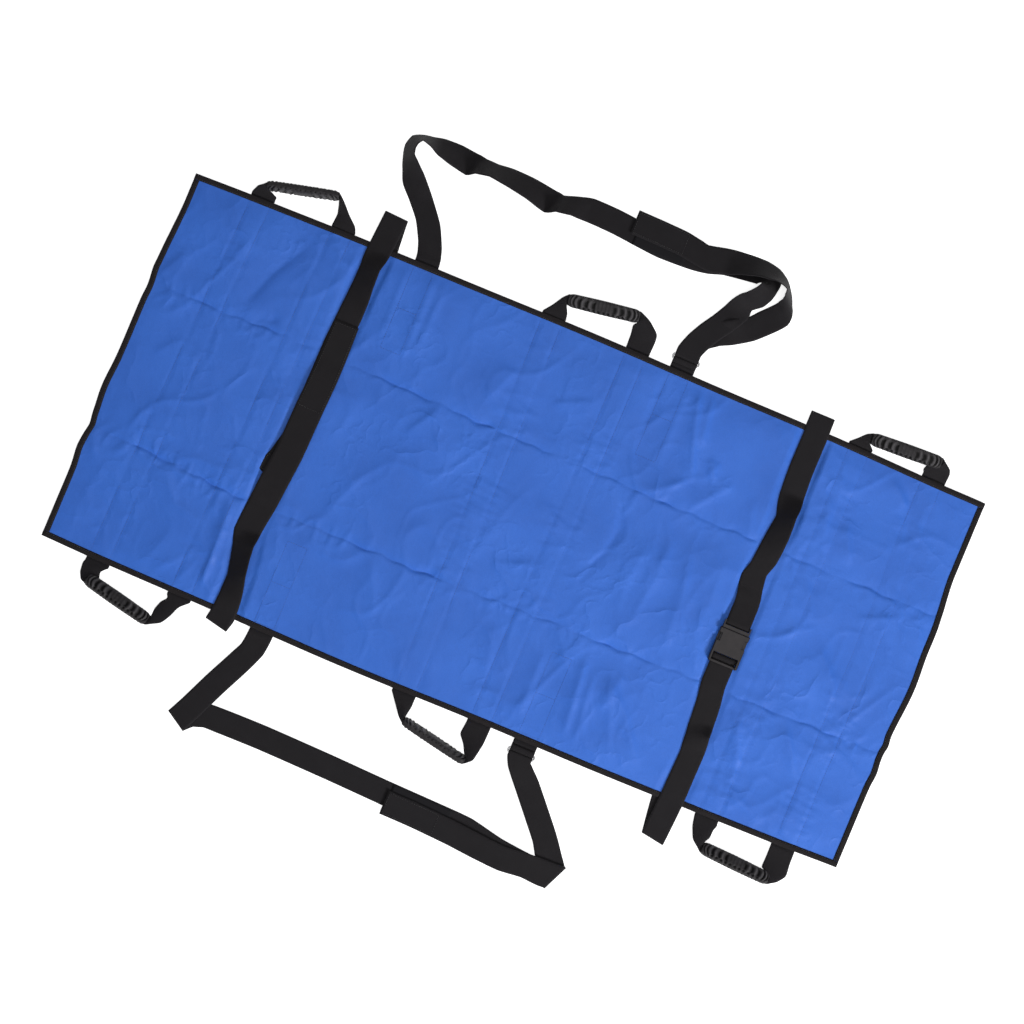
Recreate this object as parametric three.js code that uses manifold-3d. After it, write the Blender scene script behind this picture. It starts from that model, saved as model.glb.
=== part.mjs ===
// Soft carrying sheet: a bound fabric sheet with six gripped handles, two shoulder straps on metal
// loops, a hook-and-loop restraint strap and a buckled one, all laid out flat.
// Millimetres, X along the sheet, Y across it, Z up from the floor.
import * as THREE from 'three';
import { mergeVertices } from 'three/addons/utils/BufferGeometryUtils.js';
import Module from 'manifold-3d';

const wasm = await Module();
wasm.setup();

// ---- driving dimensions ----
const SHEET_HALF_LENGTH = 858;
const SHEET_HALF_WIDTH = 393;     // at the corners
const EDGE_BOW = 11;              // how far each long edge bows out at its middle
const WEB = 50;                   // webbing width
const WEB_THICK = 1.8;
const GAP = 0.3;                  // air left between neighbouring layers
const TAPE_WIDTH = 46;            // hook tape and loop tape
const TAPE_THICK = 1.0;
const BINDING_WIDTH = 12;
const BINDING_THICK = 0.6;
const PANEL_THICK = 0.8;

// heights of the layers at the sheet, each the underside of its layer
const BINDING_LOW = WEB_THICK + GAP;
const PANEL_LOW = BINDING_LOW + BINDING_THICK + GAP;
const BINDING_TOP = PANEL_LOW + PANEL_THICK + GAP + BINDING_THICK;
const ON_SHEET = BINDING_TOP + GAP;
const LOOP_ON_SHEET = ON_SHEET + WEB_THICK + GAP;
const HOOK_ON_SHEET = LOOP_ON_SHEET + TAPE_THICK + GAP;
const OVER_TAPES = HOOK_ON_SHEET + TAPE_THICK + GAP;
const LOOP_ON_FLOOR = WEB_THICK + GAP;
const HOOK_ON_FLOOR = LOOP_ON_FLOOR + TAPE_THICK + GAP;
const OVER_FLOOR_TAPES = HOOK_ON_FLOOR + TAPE_THICK + GAP;
const LAYER = WEB_THICK + 0.5;    // one folded layer to the next

// the line along which handles and shoulder straps hinge, just outside the long edges
const HINGE_OUT = 5;
const HINGE_Y = SHEET_HALF_WIDTH + EDGE_BOW + HINGE_OUT;
const HINGE_Z = (BINDING_LOW + BINDING_TOP) / 2;
const HINGE_LIFT = HINGE_Z - WEB_THICK / 2;
const HINGE_ROOM = WEB_THICK / 2 + GAP;

// grips
const GRIP_LENGTH = 146;
const GRIP_WIDE = 29;
const GRIP_THICK = 17;
const GRIP_RIBS = 9;
const FOLDED_WEB = 22;            // the webbing folded in half inside a grip
const FOLDED_THICK = 3.6;

// metal loops
const WIRE = 2;                   // wire radius
const WRAP = WIRE + GAP + WEB_THICK / 2;
const LOOP_NEAR_Y = 421.7;        // bar held by the sewn tab
const LOOP_FAR_Y = 431;           // bar that the shoulder strap runs round
const LOOP_HALF_WIDTH = 27.6;
const LOOP_Z = WRAP + WEB_THICK / 2;

// side-release buckle, measured from its own centre line
const BUCKLE_X = 491;
const BUCKLE_LOW = ON_SHEET + 0.3;
const BUCKLE_THICK = 14;
const BUCKLE_HALF_WIDTH = 31;
const MOUTH_Y = -36;
const SOCKET_END_Y = -108;
const THROAT_HALF_WIDTH = 26.7;
const PLUG_BAR_Y = -22;
const SOCKET_BAR_Y = -95;
const BAR_Z = ON_SHEET + 6;

const COLOURS = {
  sheet: 0x3f6fc8, binding: 0x2a2527, web: 0x232022, tape: 0x1b1a1c,
  grip: 0x3a393c, metal: 0xb9bcc0, buckle: 0x4a4547,
};

// ---- helpers ----
const rad = THREE.MathUtils.degToRad;

function edgeY(x) {
  return SHEET_HALF_WIDTH + EDGE_BOW * (1 - (x / SHEET_HALF_LENGTH) ** 2);
}

function finish(name, geometry, colour, roughness = 0.85, metalness = 0) {
  geometry.computeVertexNormals();
  const mesh = new THREE.Mesh(geometry, new THREE.MeshStandardMaterial({ color: colour, roughness, metalness }));
  mesh.name = name;
  return mesh;
}

// A closed solid through a list of rings, each a list of points going round the same way.
function loft(rings) {
  const count = rings[0].length;
  const points = rings.flat();
  const index = [];
  for (let r = 0; r + 1 < rings.length; r += 1) {
    for (let k = 0; k < count; k += 1) {
      const a = r * count + k;
      const b = r * count + (k + 1) % count;
      // opposite faces are split along the same diagonal, so that a twisted strip keeps its thickness
      if (k < count / 2) index.push(a, b, b + count, a, b + count, a + count);
      else index.push(a, b, a + count, b, b + count, a + count);
    }
  }
  for (const [r, flip] of [[0, true], [rings.length - 1, false]]) {
    for (const [a, b, c] of capTriangles(rings[r])) {
      const at = r * count;
      index.push(at + a, at + (flip ? c : b), at + (flip ? b : c));
    }
  }
  const geometry = new THREE.BufferGeometry();
  geometry.setAttribute('position', new THREE.Float32BufferAttribute(points.flatMap((p) => p.toArray()), 3));
  geometry.setIndex(index);
  return outward(geometry);
}

// Triangles that close one ring, whose points lie in a plane.
function capTriangles(ring) {
  const normal = new THREE.Vector3();
  ring.forEach((p, k) => normal.add(new THREE.Vector3().crossVectors(p, ring[(k + 1) % ring.length])));
  normal.normalize();
  const turn = new THREE.Quaternion().setFromUnitVectors(normal, new THREE.Vector3(0, 0, 1));
  const flat = ring.map((p) => p.clone().sub(ring[0]).applyQuaternion(turn));
  return THREE.ShapeUtils.triangulateShape(flat.map((p) => new THREE.Vector2(p.x, p.y)), []);
}

// Turns every triangle over when a solid has come out inside out.
function outward(geometry) {
  const at = geometry.getAttribute('position');
  const index = Array.from(geometry.getIndex().array);
  const [a, b, c] = [new THREE.Vector3(), new THREE.Vector3(), new THREE.Vector3()];
  let volume = 0;
  for (let k = 0; k < index.length; k += 3) {
    a.fromBufferAttribute(at, index[k]);
    b.fromBufferAttribute(at, index[k + 1]);
    c.fromBufferAttribute(at, index[k + 2]);
    volume += a.dot(b.cross(c));
  }
  if (volume < 0) {
    index.reverse();
    geometry.setIndex(index);
  }
  return geometry;
}

function toManifold(geometry) {
  const bare = new THREE.BufferGeometry();
  bare.setAttribute('position', geometry.getAttribute('position').clone());
  if (geometry.getIndex()) bare.setIndex(Array.from(geometry.getIndex().array));
  const merged = mergeVertices(bare, 1e-4);
  const vertProperties = new Float32Array(merged.getAttribute('position').array);
  const triVerts = new Uint32Array(merged.getIndex().array);
  return new wasm.Manifold(new wasm.Mesh({ numProp: 3, vertProperties, triVerts }));
}

function fromManifold(solid) {
  const mesh = solid.getMesh();
  const geometry = new THREE.BufferGeometry();
  geometry.setAttribute('position', new THREE.BufferAttribute(new Float32Array(mesh.vertProperties), 3));
  geometry.setIndex(Array.from(mesh.triVerts));
  return geometry;
}

function box(low, high) {
  const size = high.map((v, k) => v - low[k]);
  const geometry = new THREE.BoxGeometry(...size);
  return geometry.translate(...low.map((v, k) => v + size[k] / 2));
}

function joined(geometries) {
  return geometries.map(toManifold).reduce((a, b) => a.add(b));
}

function cut(solid, geometries) {
  return geometries.map(toManifold).reduce((a, b) => a.subtract(b), solid);
}

const ease = (t) => t * t * (3 - 2 * t);

// Raises a ring that would dip below the floor until it just touches it.
function onFloor(ring) {
  const low = Math.min(0, ...ring.map((p) => p.z));
  return ring.map((p) => p.clone().setZ(p.z - low));
}

// A strip of webbing. Each station is [x, y, lift, azimuth, tilt, width]: the middle of the strip, how
// far its underside is off the floor, the way its cross line points in plan, how far that line tilts up
// at its end, and the width. Stations more than one stride apart are joined by a smooth curve.
function strip(stations, { thick = WEB_THICK, stride = 28, width = WEB } = {}) {
  const full = stations.map(([x, y, lift, azimuth = 0, tilt = 0, wide = width]) => {
    const rise = wide / 2 * Math.abs(Math.sin(rad(tilt))) + thick / 2 * Math.abs(Math.cos(rad(tilt)));
    return [x, y, lift + rise, azimuth, tilt, wide];
  });
  const route = new THREE.CatmullRomCurve3(full.map(([x, y]) => new THREE.Vector3(x, y, 0)));
  const spots = [];
  full.forEach((here, k) => {
    const next = full[k + 1];
    if (!next) {
      spots.push(here);
      return;
    }
    const pieces = Math.max(1, Math.ceil(Math.hypot(next[0] - here[0], next[1] - here[1]) / stride));
    for (let i = 0; i < pieces; i += 1) {
      const t = i / pieces;
      const on = route.getPoint((k + t) / (full.length - 1));
      const blend = [2, 3, 4, 5].map((n) => here[n] + (next[n] - here[n]) * ease(t));
      spots.push([on.x, on.y, ...blend]);
    }
  });
  const middles = spots.map(([x, y, z]) => new THREE.Vector3(x, y, z));
  const rings = spots.map(([, , , azimuth, tilt, wide], k) => {
    const before = middles[Math.max(0, k - 1)];
    const after = middles[Math.min(middles.length - 1, k + 1)];
    const along = after.clone().sub(before).normalize();
    const across = new THREE.Vector3(Math.cos(rad(azimuth)), Math.sin(rad(azimuth)), 0);
    across.multiplyScalar(Math.cos(rad(tilt))).setZ(Math.sin(rad(tilt)));
    const up = new THREE.Vector3().crossVectors(along, across).normalize().multiplyScalar(thick / 2);
    across.multiplyScalar(wide / 2);
    return onFloor([[1, 1], [-1, 1], [-1, -1], [1, -1]].map(
      ([s, u]) => middles[k].clone().addScaledVector(across, s).addScaledVector(up, u),
    ));
  });
  return loft(rings);
}

// Stations of a half turn over a crease at (x, y): azimuth lies along the crease, out is the way the
// turn bulges, and the strip's middle height goes from one z to the other.
function halfTurn(x, y, azimuth, out, zFrom, zTo, width = WEB, steps = 6) {
  const radius = (zTo - zFrom) / 2;
  const stations = [];
  for (let k = 0; k <= steps; k += 1) {
    const turn = Math.PI * k / steps;
    const reach = Math.abs(radius) * Math.sin(turn);
    const z = zFrom + radius * (1 - Math.cos(turn)) - WEB_THICK / 2;
    stations.push([x + out[0] * reach, y + out[1] * reach, z, azimuth, 0, width]);
  }
  return stations;
}

// Stations of the lower part of a loop of webbing that turns up beyond an edge, from the floor layer.
function upturn(x, y, side) {
  const centre = (WEB_THICK / 2 + ON_SHEET + WEB_THICK / 2) / 2;
  const radius = centre - WEB_THICK / 2;
  return [0, 25, 50, 75, 105].map((degrees) => {
    const turn = rad(degrees);
    const z = centre - radius * Math.cos(turn) - WEB_THICK / 2;
    return [x, y + side * radius * Math.sin(turn), z, 0, 0];
  });
}

// The rounded end that a strip of webbing turns on, centred on its hinge line.
function hingeRoll(x, y, z, width = WEB) {
  const roll = new THREE.CylinderGeometry(WEB_THICK / 2, WEB_THICK / 2, width, 8);
  return roll.rotateZ(Math.PI / 2).translate(x, y, z);
}

// Stations that bring sewn webbing up from under the edge to just short of a hinge line.
function rampUp(x, hingeY, side) {
  return [[x, side * (hingeY - HINGE_OUT + 0.2), 0, 0], [x, side * (hingeY - HINGE_ROOM), HINGE_LIFT - 0.2, 0]];
}

function hinged(geometry, x, y, z) {
  return fromManifold(joined([geometry, hingeRoll(x, y, z)]));
}

// ---- the sheet ----
function sheetPanel() {
  const inset = BINDING_THICK + GAP;
  const half = SHEET_HALF_LENGTH - inset;
  const outline = new THREE.Shape();
  const steps = 16;
  for (const side of [-1, 1]) {
    for (let k = 0; k <= steps; k += 1) {
      const x = side * (2 * half * k / steps - half) * -1;
      const y = side * (edgeY(x) - inset);
      if (side < 0 && k === 0) outline.moveTo(x, y);
      else outline.lineTo(x, y);
    }
  }
  const panel = new THREE.ExtrudeGeometry(outline, { depth: PANEL_THICK, bevelEnabled: false });
  panel.translate(0, 0, PANEL_LOW);
  return finish('sheet_panel', fromManifold(toManifold(panel)), COLOURS.sheet, 0.6);
}

// The binding's folded section: distances in from the edge, and heights.
function bindingSection() {
  const inner = BINDING_THICK;
  return [
    [0, BINDING_LOW], [BINDING_WIDTH, BINDING_LOW], [BINDING_WIDTH, BINDING_LOW + BINDING_THICK],
    [inner, BINDING_LOW + BINDING_THICK], [inner, BINDING_TOP - BINDING_THICK],
    [BINDING_WIDTH, BINDING_TOP - BINDING_THICK], [BINDING_WIDTH, BINDING_TOP], [0, BINDING_TOP],
  ];
}

function longBinding(name, side) {
  const rings = [];
  const steps = 12;
  for (let k = 0; k <= steps; k += 1) {
    const x = SHEET_HALF_LENGTH * (2 * k / steps - 1);
    rings.push(bindingSection().map(([d, z]) => new THREE.Vector3(x, side * (edgeY(x) - d), z)));
  }
  return finish(name, loft(rings), COLOURS.binding);
}

function endBinding(name, side) {
  const reach = SHEET_HALF_WIDTH - BINDING_WIDTH - GAP;
  const rings = [-reach, reach].map((y) => bindingSection().map(
    ([d, z]) => new THREE.Vector3(side * (SHEET_HALF_LENGTH - d), y, z),
  ));
  return finish(name, loft(rings), COLOURS.binding);
}

// ---- handles: where their feet leave the sheet, and how each grip lies ----
const HANDLES = [
  { name: 'head_left', side: 1, feet: [-714, -541], grip: [-643, 442], slope: 14, roll: 74 },
  { name: 'middle_left', side: 1, feet: [-86, 95], grip: [0, 458], slope: 9, roll: 8 },
  { name: 'foot_left', side: 1, feet: [580, 740], grip: [667, 428.5], slope: 3, roll: 6 },
  { name: 'head_right', side: -1, feet: [-738, -561], grip: [-671, -452], slope: -12, roll: 30 },
  { name: 'middle_right', side: -1, feet: [-72, 90], grip: [20, -468], slope: -11, roll: 72 },
  { name: 'foot_right', side: -1, feet: [582, 746], grip: [668, -462], slope: -3, roll: 30 },
];

// The line a handle hinges on, just outside the edge at both of its feet.
function handleHingeY({ feet }) {
  return Math.max(...feet.map(edgeY)) + HINGE_OUT;
}

function gripRise(roll) {
  return GRIP_WIDE / 2 * Math.sin(rad(roll)) + GRIP_THICK / 2 * Math.cos(rad(roll));
}

// Turns points drawn along X about the origin into a grip's place.
function toGrip(geometry, { grip, slope, roll, side }) {
  geometry.rotateX(rad(roll) * side).rotateZ(rad(slope));
  return geometry.translate(grip[0], grip[1], gripRise(roll) + 0.05);
}

function gripRing(x, wide, thick) {
  const corner = Math.min(wide, thick) * 0.3;
  const [w, t] = [wide / 2, thick / 2];
  return [
    [w - corner, t], [-w + corner, t], [-w, t - corner], [-w, -t + corner],
    [-w + corner, -t], [w - corner, -t], [w, -t + corner], [w, t - corner],
  ].map(([y, z]) => new THREE.Vector3(x, y, z));
}

// A moulded sleeve, ribbed across, with the slot that the folded webbing runs through.
function grip(handle) {
  const rings = [gripRing(-GRIP_LENGTH / 2, GRIP_WIDE - 6, GRIP_THICK - 4)];
  const pitch = (GRIP_LENGTH - 16) / GRIP_RIBS;
  for (let k = 0; k < GRIP_RIBS; k += 1) {
    const x = -GRIP_LENGTH / 2 + 8 + pitch * k;
    rings.push(gripRing(x + pitch * 0.15, GRIP_WIDE, GRIP_THICK));
    rings.push(gripRing(x + pitch * 0.6, GRIP_WIDE, GRIP_THICK));
    if (k + 1 < GRIP_RIBS) rings.push(gripRing(x + pitch * 0.88, GRIP_WIDE - 3, GRIP_THICK - 3));
  }
  rings.push(gripRing(GRIP_LENGTH / 2, GRIP_WIDE - 6, GRIP_THICK - 4));
  const slot = [FOLDED_WEB / 2 + GAP, FOLDED_THICK / 2 + GAP];
  const bore = box([-GRIP_LENGTH, -slot[0], -slot[1]], [GRIP_LENGTH, slot[0], slot[1]]);
  const sleeve = fromManifold(cut(toManifold(loft(rings)), [bore]));
  return finish(`grip_${handle.name}`, toGrip(sleeve, handle), COLOURS.grip, 0.55);
}

// The webbing of one handle: out from one foot, folded through the grip, and back to the other foot.
function handleWeb(handle) {
  const { side, feet, grip: [gx, gy], slope, roll } = handle;
  const middle = gripRise(roll) + 0.05;
  const along = [Math.cos(rad(slope)), Math.sin(rad(slope))];
  const rings = [];
  const ring = (x, y, z, azimuth, tilt, wide, thick) => {
    const across = new THREE.Vector3(Math.cos(rad(azimuth)), Math.sin(rad(azimuth)), 0);
    across.multiplyScalar(Math.cos(rad(tilt))).setZ(Math.sin(rad(tilt)));
    const heading = new THREE.Vector3(-Math.sin(rad(azimuth)), Math.cos(rad(azimuth)), 0);
    const up = new THREE.Vector3().crossVectors(across, heading).multiplyScalar(thick / 2);
    across.multiplyScalar(wide / 2);
    const at = new THREE.Vector3(x, y, z);
    rings.push(onFloor([[1, 1], [-1, 1], [-1, -1], [1, -1]].map(
      ([s, u]) => at.clone().addScaledVector(across, s).addScaledVector(up, u),
    )));
  };
  const hingeY = side * handleHingeY(handle);
  for (const s of [-1, 1]) {
    const [fx, fy] = [feet[(s + 1) / 2], hingeY];
    const [ex, ey] = [gx, gy].map((v, k) => v + s * along[k] * (GRIP_LENGTH / 2 + 1));
    const turned = side * s * 90 + slope;      // the cross line at the grip, from the foot's own line
    const steps = [
      [0, 0, WEB, WEB_THICK], [0.5, 0.15, 34, WEB_THICK], [0.8, 0.6, 24, 2.4],
      [1, 1, FOLDED_WEB, FOLDED_THICK],
    ].map(([t, turn, wide, thick]) => {
      const line = rad(turned * turn);
      const reach = wide / 2 * Math.abs(Math.cos(line) * along[0] + Math.sin(line) * along[1]) + 1.5;
      const x = fx + (ex - fx) * t ** 1.6;
      const y = fy + (ey - fy) * Math.min(1, t * 1.05);
      const beyond = s * ((x - ex) * along[0] + (y - ey) * along[1]);
      const push = t > 0.4 && t < 1 ? s * Math.max(0, reach - beyond) : 0;
      const rise = HINGE_Z + (middle - HINGE_Z) * ease(t);
      const tilt = s * roll * turn ** 2;
      return [x + push * along[0], y + push * along[1], rise, turned * turn, tilt, wide, thick];
    });
    if (s < 0) {
      steps.forEach((step) => ring(...step));
    } else {
      steps.reverse().forEach(([x, y, z, azimuth, tilt, wide, thick]) => {
        ring(x, y, z, azimuth - 180, -tilt, wide, thick);
      });
    }
  }
  const solid = hinged(loft(rings), feet[0], hingeY, HINGE_Z);
  const both = hinged(solid, feet[1], hingeY, HINGE_Z);
  return finish(`handle_web_${handle.name}`, both, COLOURS.web);
}

// Webbing sewn under the sheet from one long edge to the other, one for each pair of facing feet.
function carryWebs() {
  const rows = ['head', 'middle', 'foot'];
  return rows.flatMap((row, r) => [0, 1].map((f) => {
    const [left, right] = [HANDLES[r], HANDLES[r + 3]];
    const route = [
      ...rampUp(right.feet[f], handleHingeY(right), -1).reverse(),
      ...rampUp(left.feet[f], handleHingeY(left), 1),
    ];
    return finish(`carry_web_${row}_${f + 1}`, strip(route, { stride: 2000 }), COLOURS.web);
  }));
}

// ---- shoulder straps ----
const LOOP_X = 191;
const FOOT_X = { left: -361, right: -382 };
const SEWN_LENGTH = 190;          // of a strap's or tab's end under the sheet

const RIGHT_CREASE = [346, -628];
const RIGHT_CREASE_OUT = [0.91, -0.414];
const LEFT_CREASE = [-471, -631];
const LEFT_CREASE_OUT = [-0.53, -0.848];

// How the left shoulder strap lies: up from its foot, over to the loop, round the bar and back on top.
const LEFT_STRAP = [
  [FOOT_X.left, HINGE_Y, HINGE_LIFT, 0], [-362, HINGE_Y + 12, 0.4, 3], [-366, 442, 0, 9], [-385, 484, 0, 26], [-414, 520, 0, 40],
  [-448, 556, 0, 40, 8], [-478, 585, 0, 16, 56], [-483, 604, 0, 0, 58], [-479, 620, 0, -35, 62],
  [-462, 630, 0, -66, 66], [-442, 627, 0, -82, 48], [-400, 623, 0, -90, 28], [-355, 619, 0, -92, 0],
  [-300, 622, 0, -88, 40], [-250, 621, 0, -91, 30], [-192, 614, 0, -92, 0], [-157, 615, 0, -80, 38],
  [-100, 626, 0, -88, 0], [-45, 625, 0, -91], [20, 621, 0, -91], [130, 621, 0, -90], [190, 628, 0, -82],
  [245, 640, 0, -88], [281, 635, 1, -132, 6], [290, 611, 3, -178, 32], [268, 586, 5.6, -212, 6],
  [240, 552, 5.6, -217], [213, 508, 6.4, -208], [197, 470, 6.4, -196], [LOOP_X, 446, 6.4, -184],
  ...halfTurn(LOOP_X, LOOP_FAR_Y, -180, [0, -1], LOOP_Z + WRAP, LOOP_Z - WRAP),
  [LOOP_X, 446, 0, -182], [198, 468, 0, -192], [217, 500, 0, -214], [254, 528, 0, -232],
  [319, 551, 0, -230, 0], [337, 586, 0, -198, 46], [338, 612, 0, -178, 62], [325, 638, 4, -140, 66],
  [300, 649, 7, -108, 54], [258, 648, 7, -90, 42], [212, 638, 6, -88, 8], [160, 632, 5.2, -92],
  [100, 637, OVER_FLOOR_TAPES, -91], [40, 639, OVER_FLOOR_TAPES, -90], [-12, 640, OVER_FLOOR_TAPES, -90],
];

// How the right shoulder strap lies: a flat fold at each end of its run, and the same double leg.
const RIGHT_LEG = [[325, -602, -310, 56], [300, -565, -322, 50], [262, -521, -322, 50], [225, -479, -326, 50]];
const RIGHT_STRAP = [
  [FOOT_X.right, -HINGE_Y, HINGE_LIFT, -180], [-383, -HINGE_Y - 12, 0.4, -182], [-386, -442, 0, -186], [-400, -475, 0.3, -198],
  [-428, -535, LAYER, -206], [-455, -597, LAYER, -206],
  ...halfTurn(...LEFT_CREASE, -212, LEFT_CREASE_OUT, LAYER + WEB_THICK / 2, WEB_THICK / 2, 51),
  [-453, -613, 0, -224], [-424, -600, 0, -252], [-382, -598, 0, -270], [-300, -597, 0, -270],
  [-150, -600, 0, -269], [-30, -604, 0, -269], [60, -606, 0, -269], [150, -609, 0, -268],
  [222, -623, 2.6, -268], [285, -629, 2 * LAYER, -270], [334, -629, 2 * LAYER, -290, 0, 58],
  ...halfTurn(...RIGHT_CREASE, -294, RIGHT_CREASE_OUT, 2 * LAYER + WEB_THICK / 2, LAYER + WEB_THICK / 2, 60),
  ...RIGHT_LEG.map(([x, y, azimuth, wide]) => [x, y, LAYER, azimuth, 0, wide]),
  [200, -452, 5.4, -342], [LOOP_X, -438, 6.4, -358],
  ...halfTurn(LOOP_X, -LOOP_FAR_Y, -360, [0, 1], LOOP_Z + WRAP, LOOP_Z - WRAP),
  [LOOP_X, -438, 0, -358], [200, -452, 0, -342],
  ...RIGHT_LEG.toReversed().map(([x, y, azimuth, wide]) => [x, y, 0, azimuth, 0, wide]),
  ...halfTurn(...RIGHT_CREASE, -294, RIGHT_CREASE_OUT, WEB_THICK / 2, 3 * LAYER + WEB_THICK / 2, 60),
  [334, -629, 3 * LAYER, -290, 0, 58], [285, -629, 3 * LAYER, -270], [236, -634, 3 * LAYER, -268],
  [180, -631, 6, -270], [120, -626, OVER_FLOOR_TAPES, -269], [40, -622, OVER_FLOOR_TAPES, -269],
  [-25, -621, OVER_FLOOR_TAPES, -270],
];

function shoulderStrap(name, stations, side) {
  const solid = hinged(strip(stations), FOOT_X[name], side * HINGE_Y, HINGE_Z);
  return finish(`shoulder_strap_${name}`, solid, COLOURS.web);
}

function tape(name, stations) {
  return finish(name, strip(stations, { thick: TAPE_THICK, width: TAPE_WIDTH, stride: 60 }), COLOURS.tape, 0.95);
}

function shoulderTapes() {
  return [
    tape('loop_tape_left', [[2, 621.3, LOOP_ON_FLOOR, -91], [62, 620.6, LOOP_ON_FLOOR, -91],
      [112, 620.8, LOOP_ON_FLOOR, -90]]),
    tape('hook_tape_left', [[-8, 640, HOOK_ON_FLOOR, -90], [86, 637.6, HOOK_ON_FLOOR, -91]]),
    tape('loop_tape_right', [[-20, -604.4, LOOP_ON_FLOOR, -269], [110, -607.8, LOOP_ON_FLOOR, -269]]),
    tape('hook_tape_right', [[-20, -621, HOOK_ON_FLOOR, -270], [86, -624, HOOK_ON_FLOOR, -269]]),
  ];
}

// A rectangular loop of round wire, flat between its tab and its strap.
function metalLoop(name, side) {
  const [near, far] = [LOOP_NEAR_Y, LOOP_FAR_Y];
  const corner = 3;
  const half = LOOP_HALF_WIDTH;
  const path = new THREE.CurvePath();
  const at = (x, y) => new THREE.Vector3(LOOP_X + x, side * y, LOOP_Z);
  const turns = [[half, near, 1, 1], [half, far, 1, -1], [-half, far, -1, -1], [-half, near, -1, 1]];
  const ends = turns.map(([x, y, sx, sy], k) => {
    const alongX = at(x - sx * corner, y);
    const alongY = at(x, y + sy * corner);
    return k % 2 === 0 ? [alongX, at(x, y), alongY] : [alongY, at(x, y), alongX];
  });
  const rings = [];
  ends.forEach(([from, knee, to]) => {
    const bend = new THREE.QuadraticBezierCurve3(from, knee, to);
    for (let k = 0; k <= 2; k += 1) {
      const p = bend.getPoint(k / 2);
      const along = bend.getTangent(k / 2);
      const out = new THREE.Vector3(along.y, -along.x, 0);
      rings.push(Array.from({ length: 8 }, (_, n) => {
        const turn = Math.PI * 2 * (n + 0.5) / 8;
        return p.clone().addScaledVector(out, WIRE * Math.cos(turn)).setZ(LOOP_Z + WIRE * Math.sin(turn));
      }));
    }
  });
  return finish(name, closedLoop(rings), COLOURS.metal, 0.25, 1);
}

// A closed solid through rings that come back round to the first.
function closedLoop(rings) {
  const count = rings[0].length;
  const index = [];
  for (let r = 0; r < rings.length; r += 1) {
    for (let k = 0; k < count; k += 1) {
      const a = r * count + k;
      const b = r * count + (k + 1) % count;
      const [c, d] = [b, a].map((v) => (v + count) % (rings.length * count));
      index.push(a, b, c, a, c, d);
    }
  }
  const geometry = new THREE.BufferGeometry();
  const points = rings.flat().flatMap((p) => p.toArray());
  geometry.setAttribute('position', new THREE.Float32BufferAttribute(points, 3));
  geometry.setIndex(index);
  return outward(geometry);
}

// The doubled tab that holds a metal loop, from the hinge line out round the near bar.
function loopTab(name, side) {
  const route = [
    [LOOP_X, side * HINGE_Y, HINGE_LIFT, 0],
    ...halfTurn(LOOP_X, side * LOOP_NEAR_Y, 0, [0, side], LOOP_Z - WRAP, LOOP_Z + WRAP),
    [LOOP_X, side * (HINGE_Y + 8), 5.6, 0], [LOOP_X, side * (HINGE_Y + 5), 4.7, 0],
  ];
  const solid = hinged(strip(route), LOOP_X, side * HINGE_Y, HINGE_Z);
  return finish(name, solid, COLOURS.web);
}

// A short length of webbing sewn under the sheet, ending just inside the hinge line.
function sewnEnd(name, x, side) {
  const route = [[x, side * (HINGE_Y - SEWN_LENGTH), 0, 0], ...rampUp(x, HINGE_Y, side)];
  return finish(name, strip(route, { stride: 2000 }), COLOURS.web);
}

// ---- hook-and-loop restraint strap, across the chest ----
const CHEST_FOLD = { left: [-453, 466], right: [-469, -421] };

function chestWeb() {
  const route = [
    ...upturn(...CHEST_FOLD.left, 1).reverse(), [-447, 404, 0, 0], [-466, -404, 0, 0],
    ...upturn(...CHEST_FOLD.right, -1),
  ];
  return finish('chest_web', strip(route, { stride: 900 }), COLOURS.web);
}

function chestStrapLeft() {
  const route = [
    [...CHEST_FOLD.left, ON_SHEET, -180], [-458, 404, ON_SHEET, -183], [-464, 300, ON_SHEET, -182],
    [-467, 200, ON_SHEET, -181], [-469, 115, ON_SHEET, -182], [-475, 0, ON_SHEET, -184],
    [-489, -92, ON_SHEET, -187],
  ];
  const solid = hinged(strip(route, { stride: 120 }), ...CHEST_FOLD.left, ON_SHEET + WEB_THICK / 2);
  return finish('chest_strap_left', solid, COLOURS.web);
}

function chestStrapRight() {
  const route = [
    [...CHEST_FOLD.right, ON_SHEET, 0], [-463, -370, ON_SHEET, 3], [-468, -310, ON_SHEET, 6],
    [-480, -230, ON_SHEET, 4], [-478, -165, ON_SHEET, -2], [-472, -112, OVER_TAPES, -4],
    [-467, -50, OVER_TAPES, -2], [-463, 50, OVER_TAPES, -1], [-462, 108, OVER_TAPES, 0],
    [-462, 150, LOOP_ON_SHEET, 0], [-462, 232, LOOP_ON_SHEET, 0],
  ];
  const solid = hinged(strip(route, { stride: 60 }), ...CHEST_FOLD.right, ON_SHEET + WEB_THICK / 2);
  return finish('chest_strap_right', solid, COLOURS.web);
}

function chestTapes() {
  return [
    tape('chest_loop_tape', [[-484.5, -72, LOOP_ON_SHEET, -186], [-471, 92, LOOP_ON_SHEET, -182]]),
    tape('chest_hook_tape', [[-468.5, -72, HOOK_ON_SHEET, -2], [-462.3, 100, HOOK_ON_SHEET, 0]]),
  ];
}

// ---- buckled restraint strap, across the legs ----
const LEG_FOLD = { left: [487, 428], right: [496, -482] };

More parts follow.
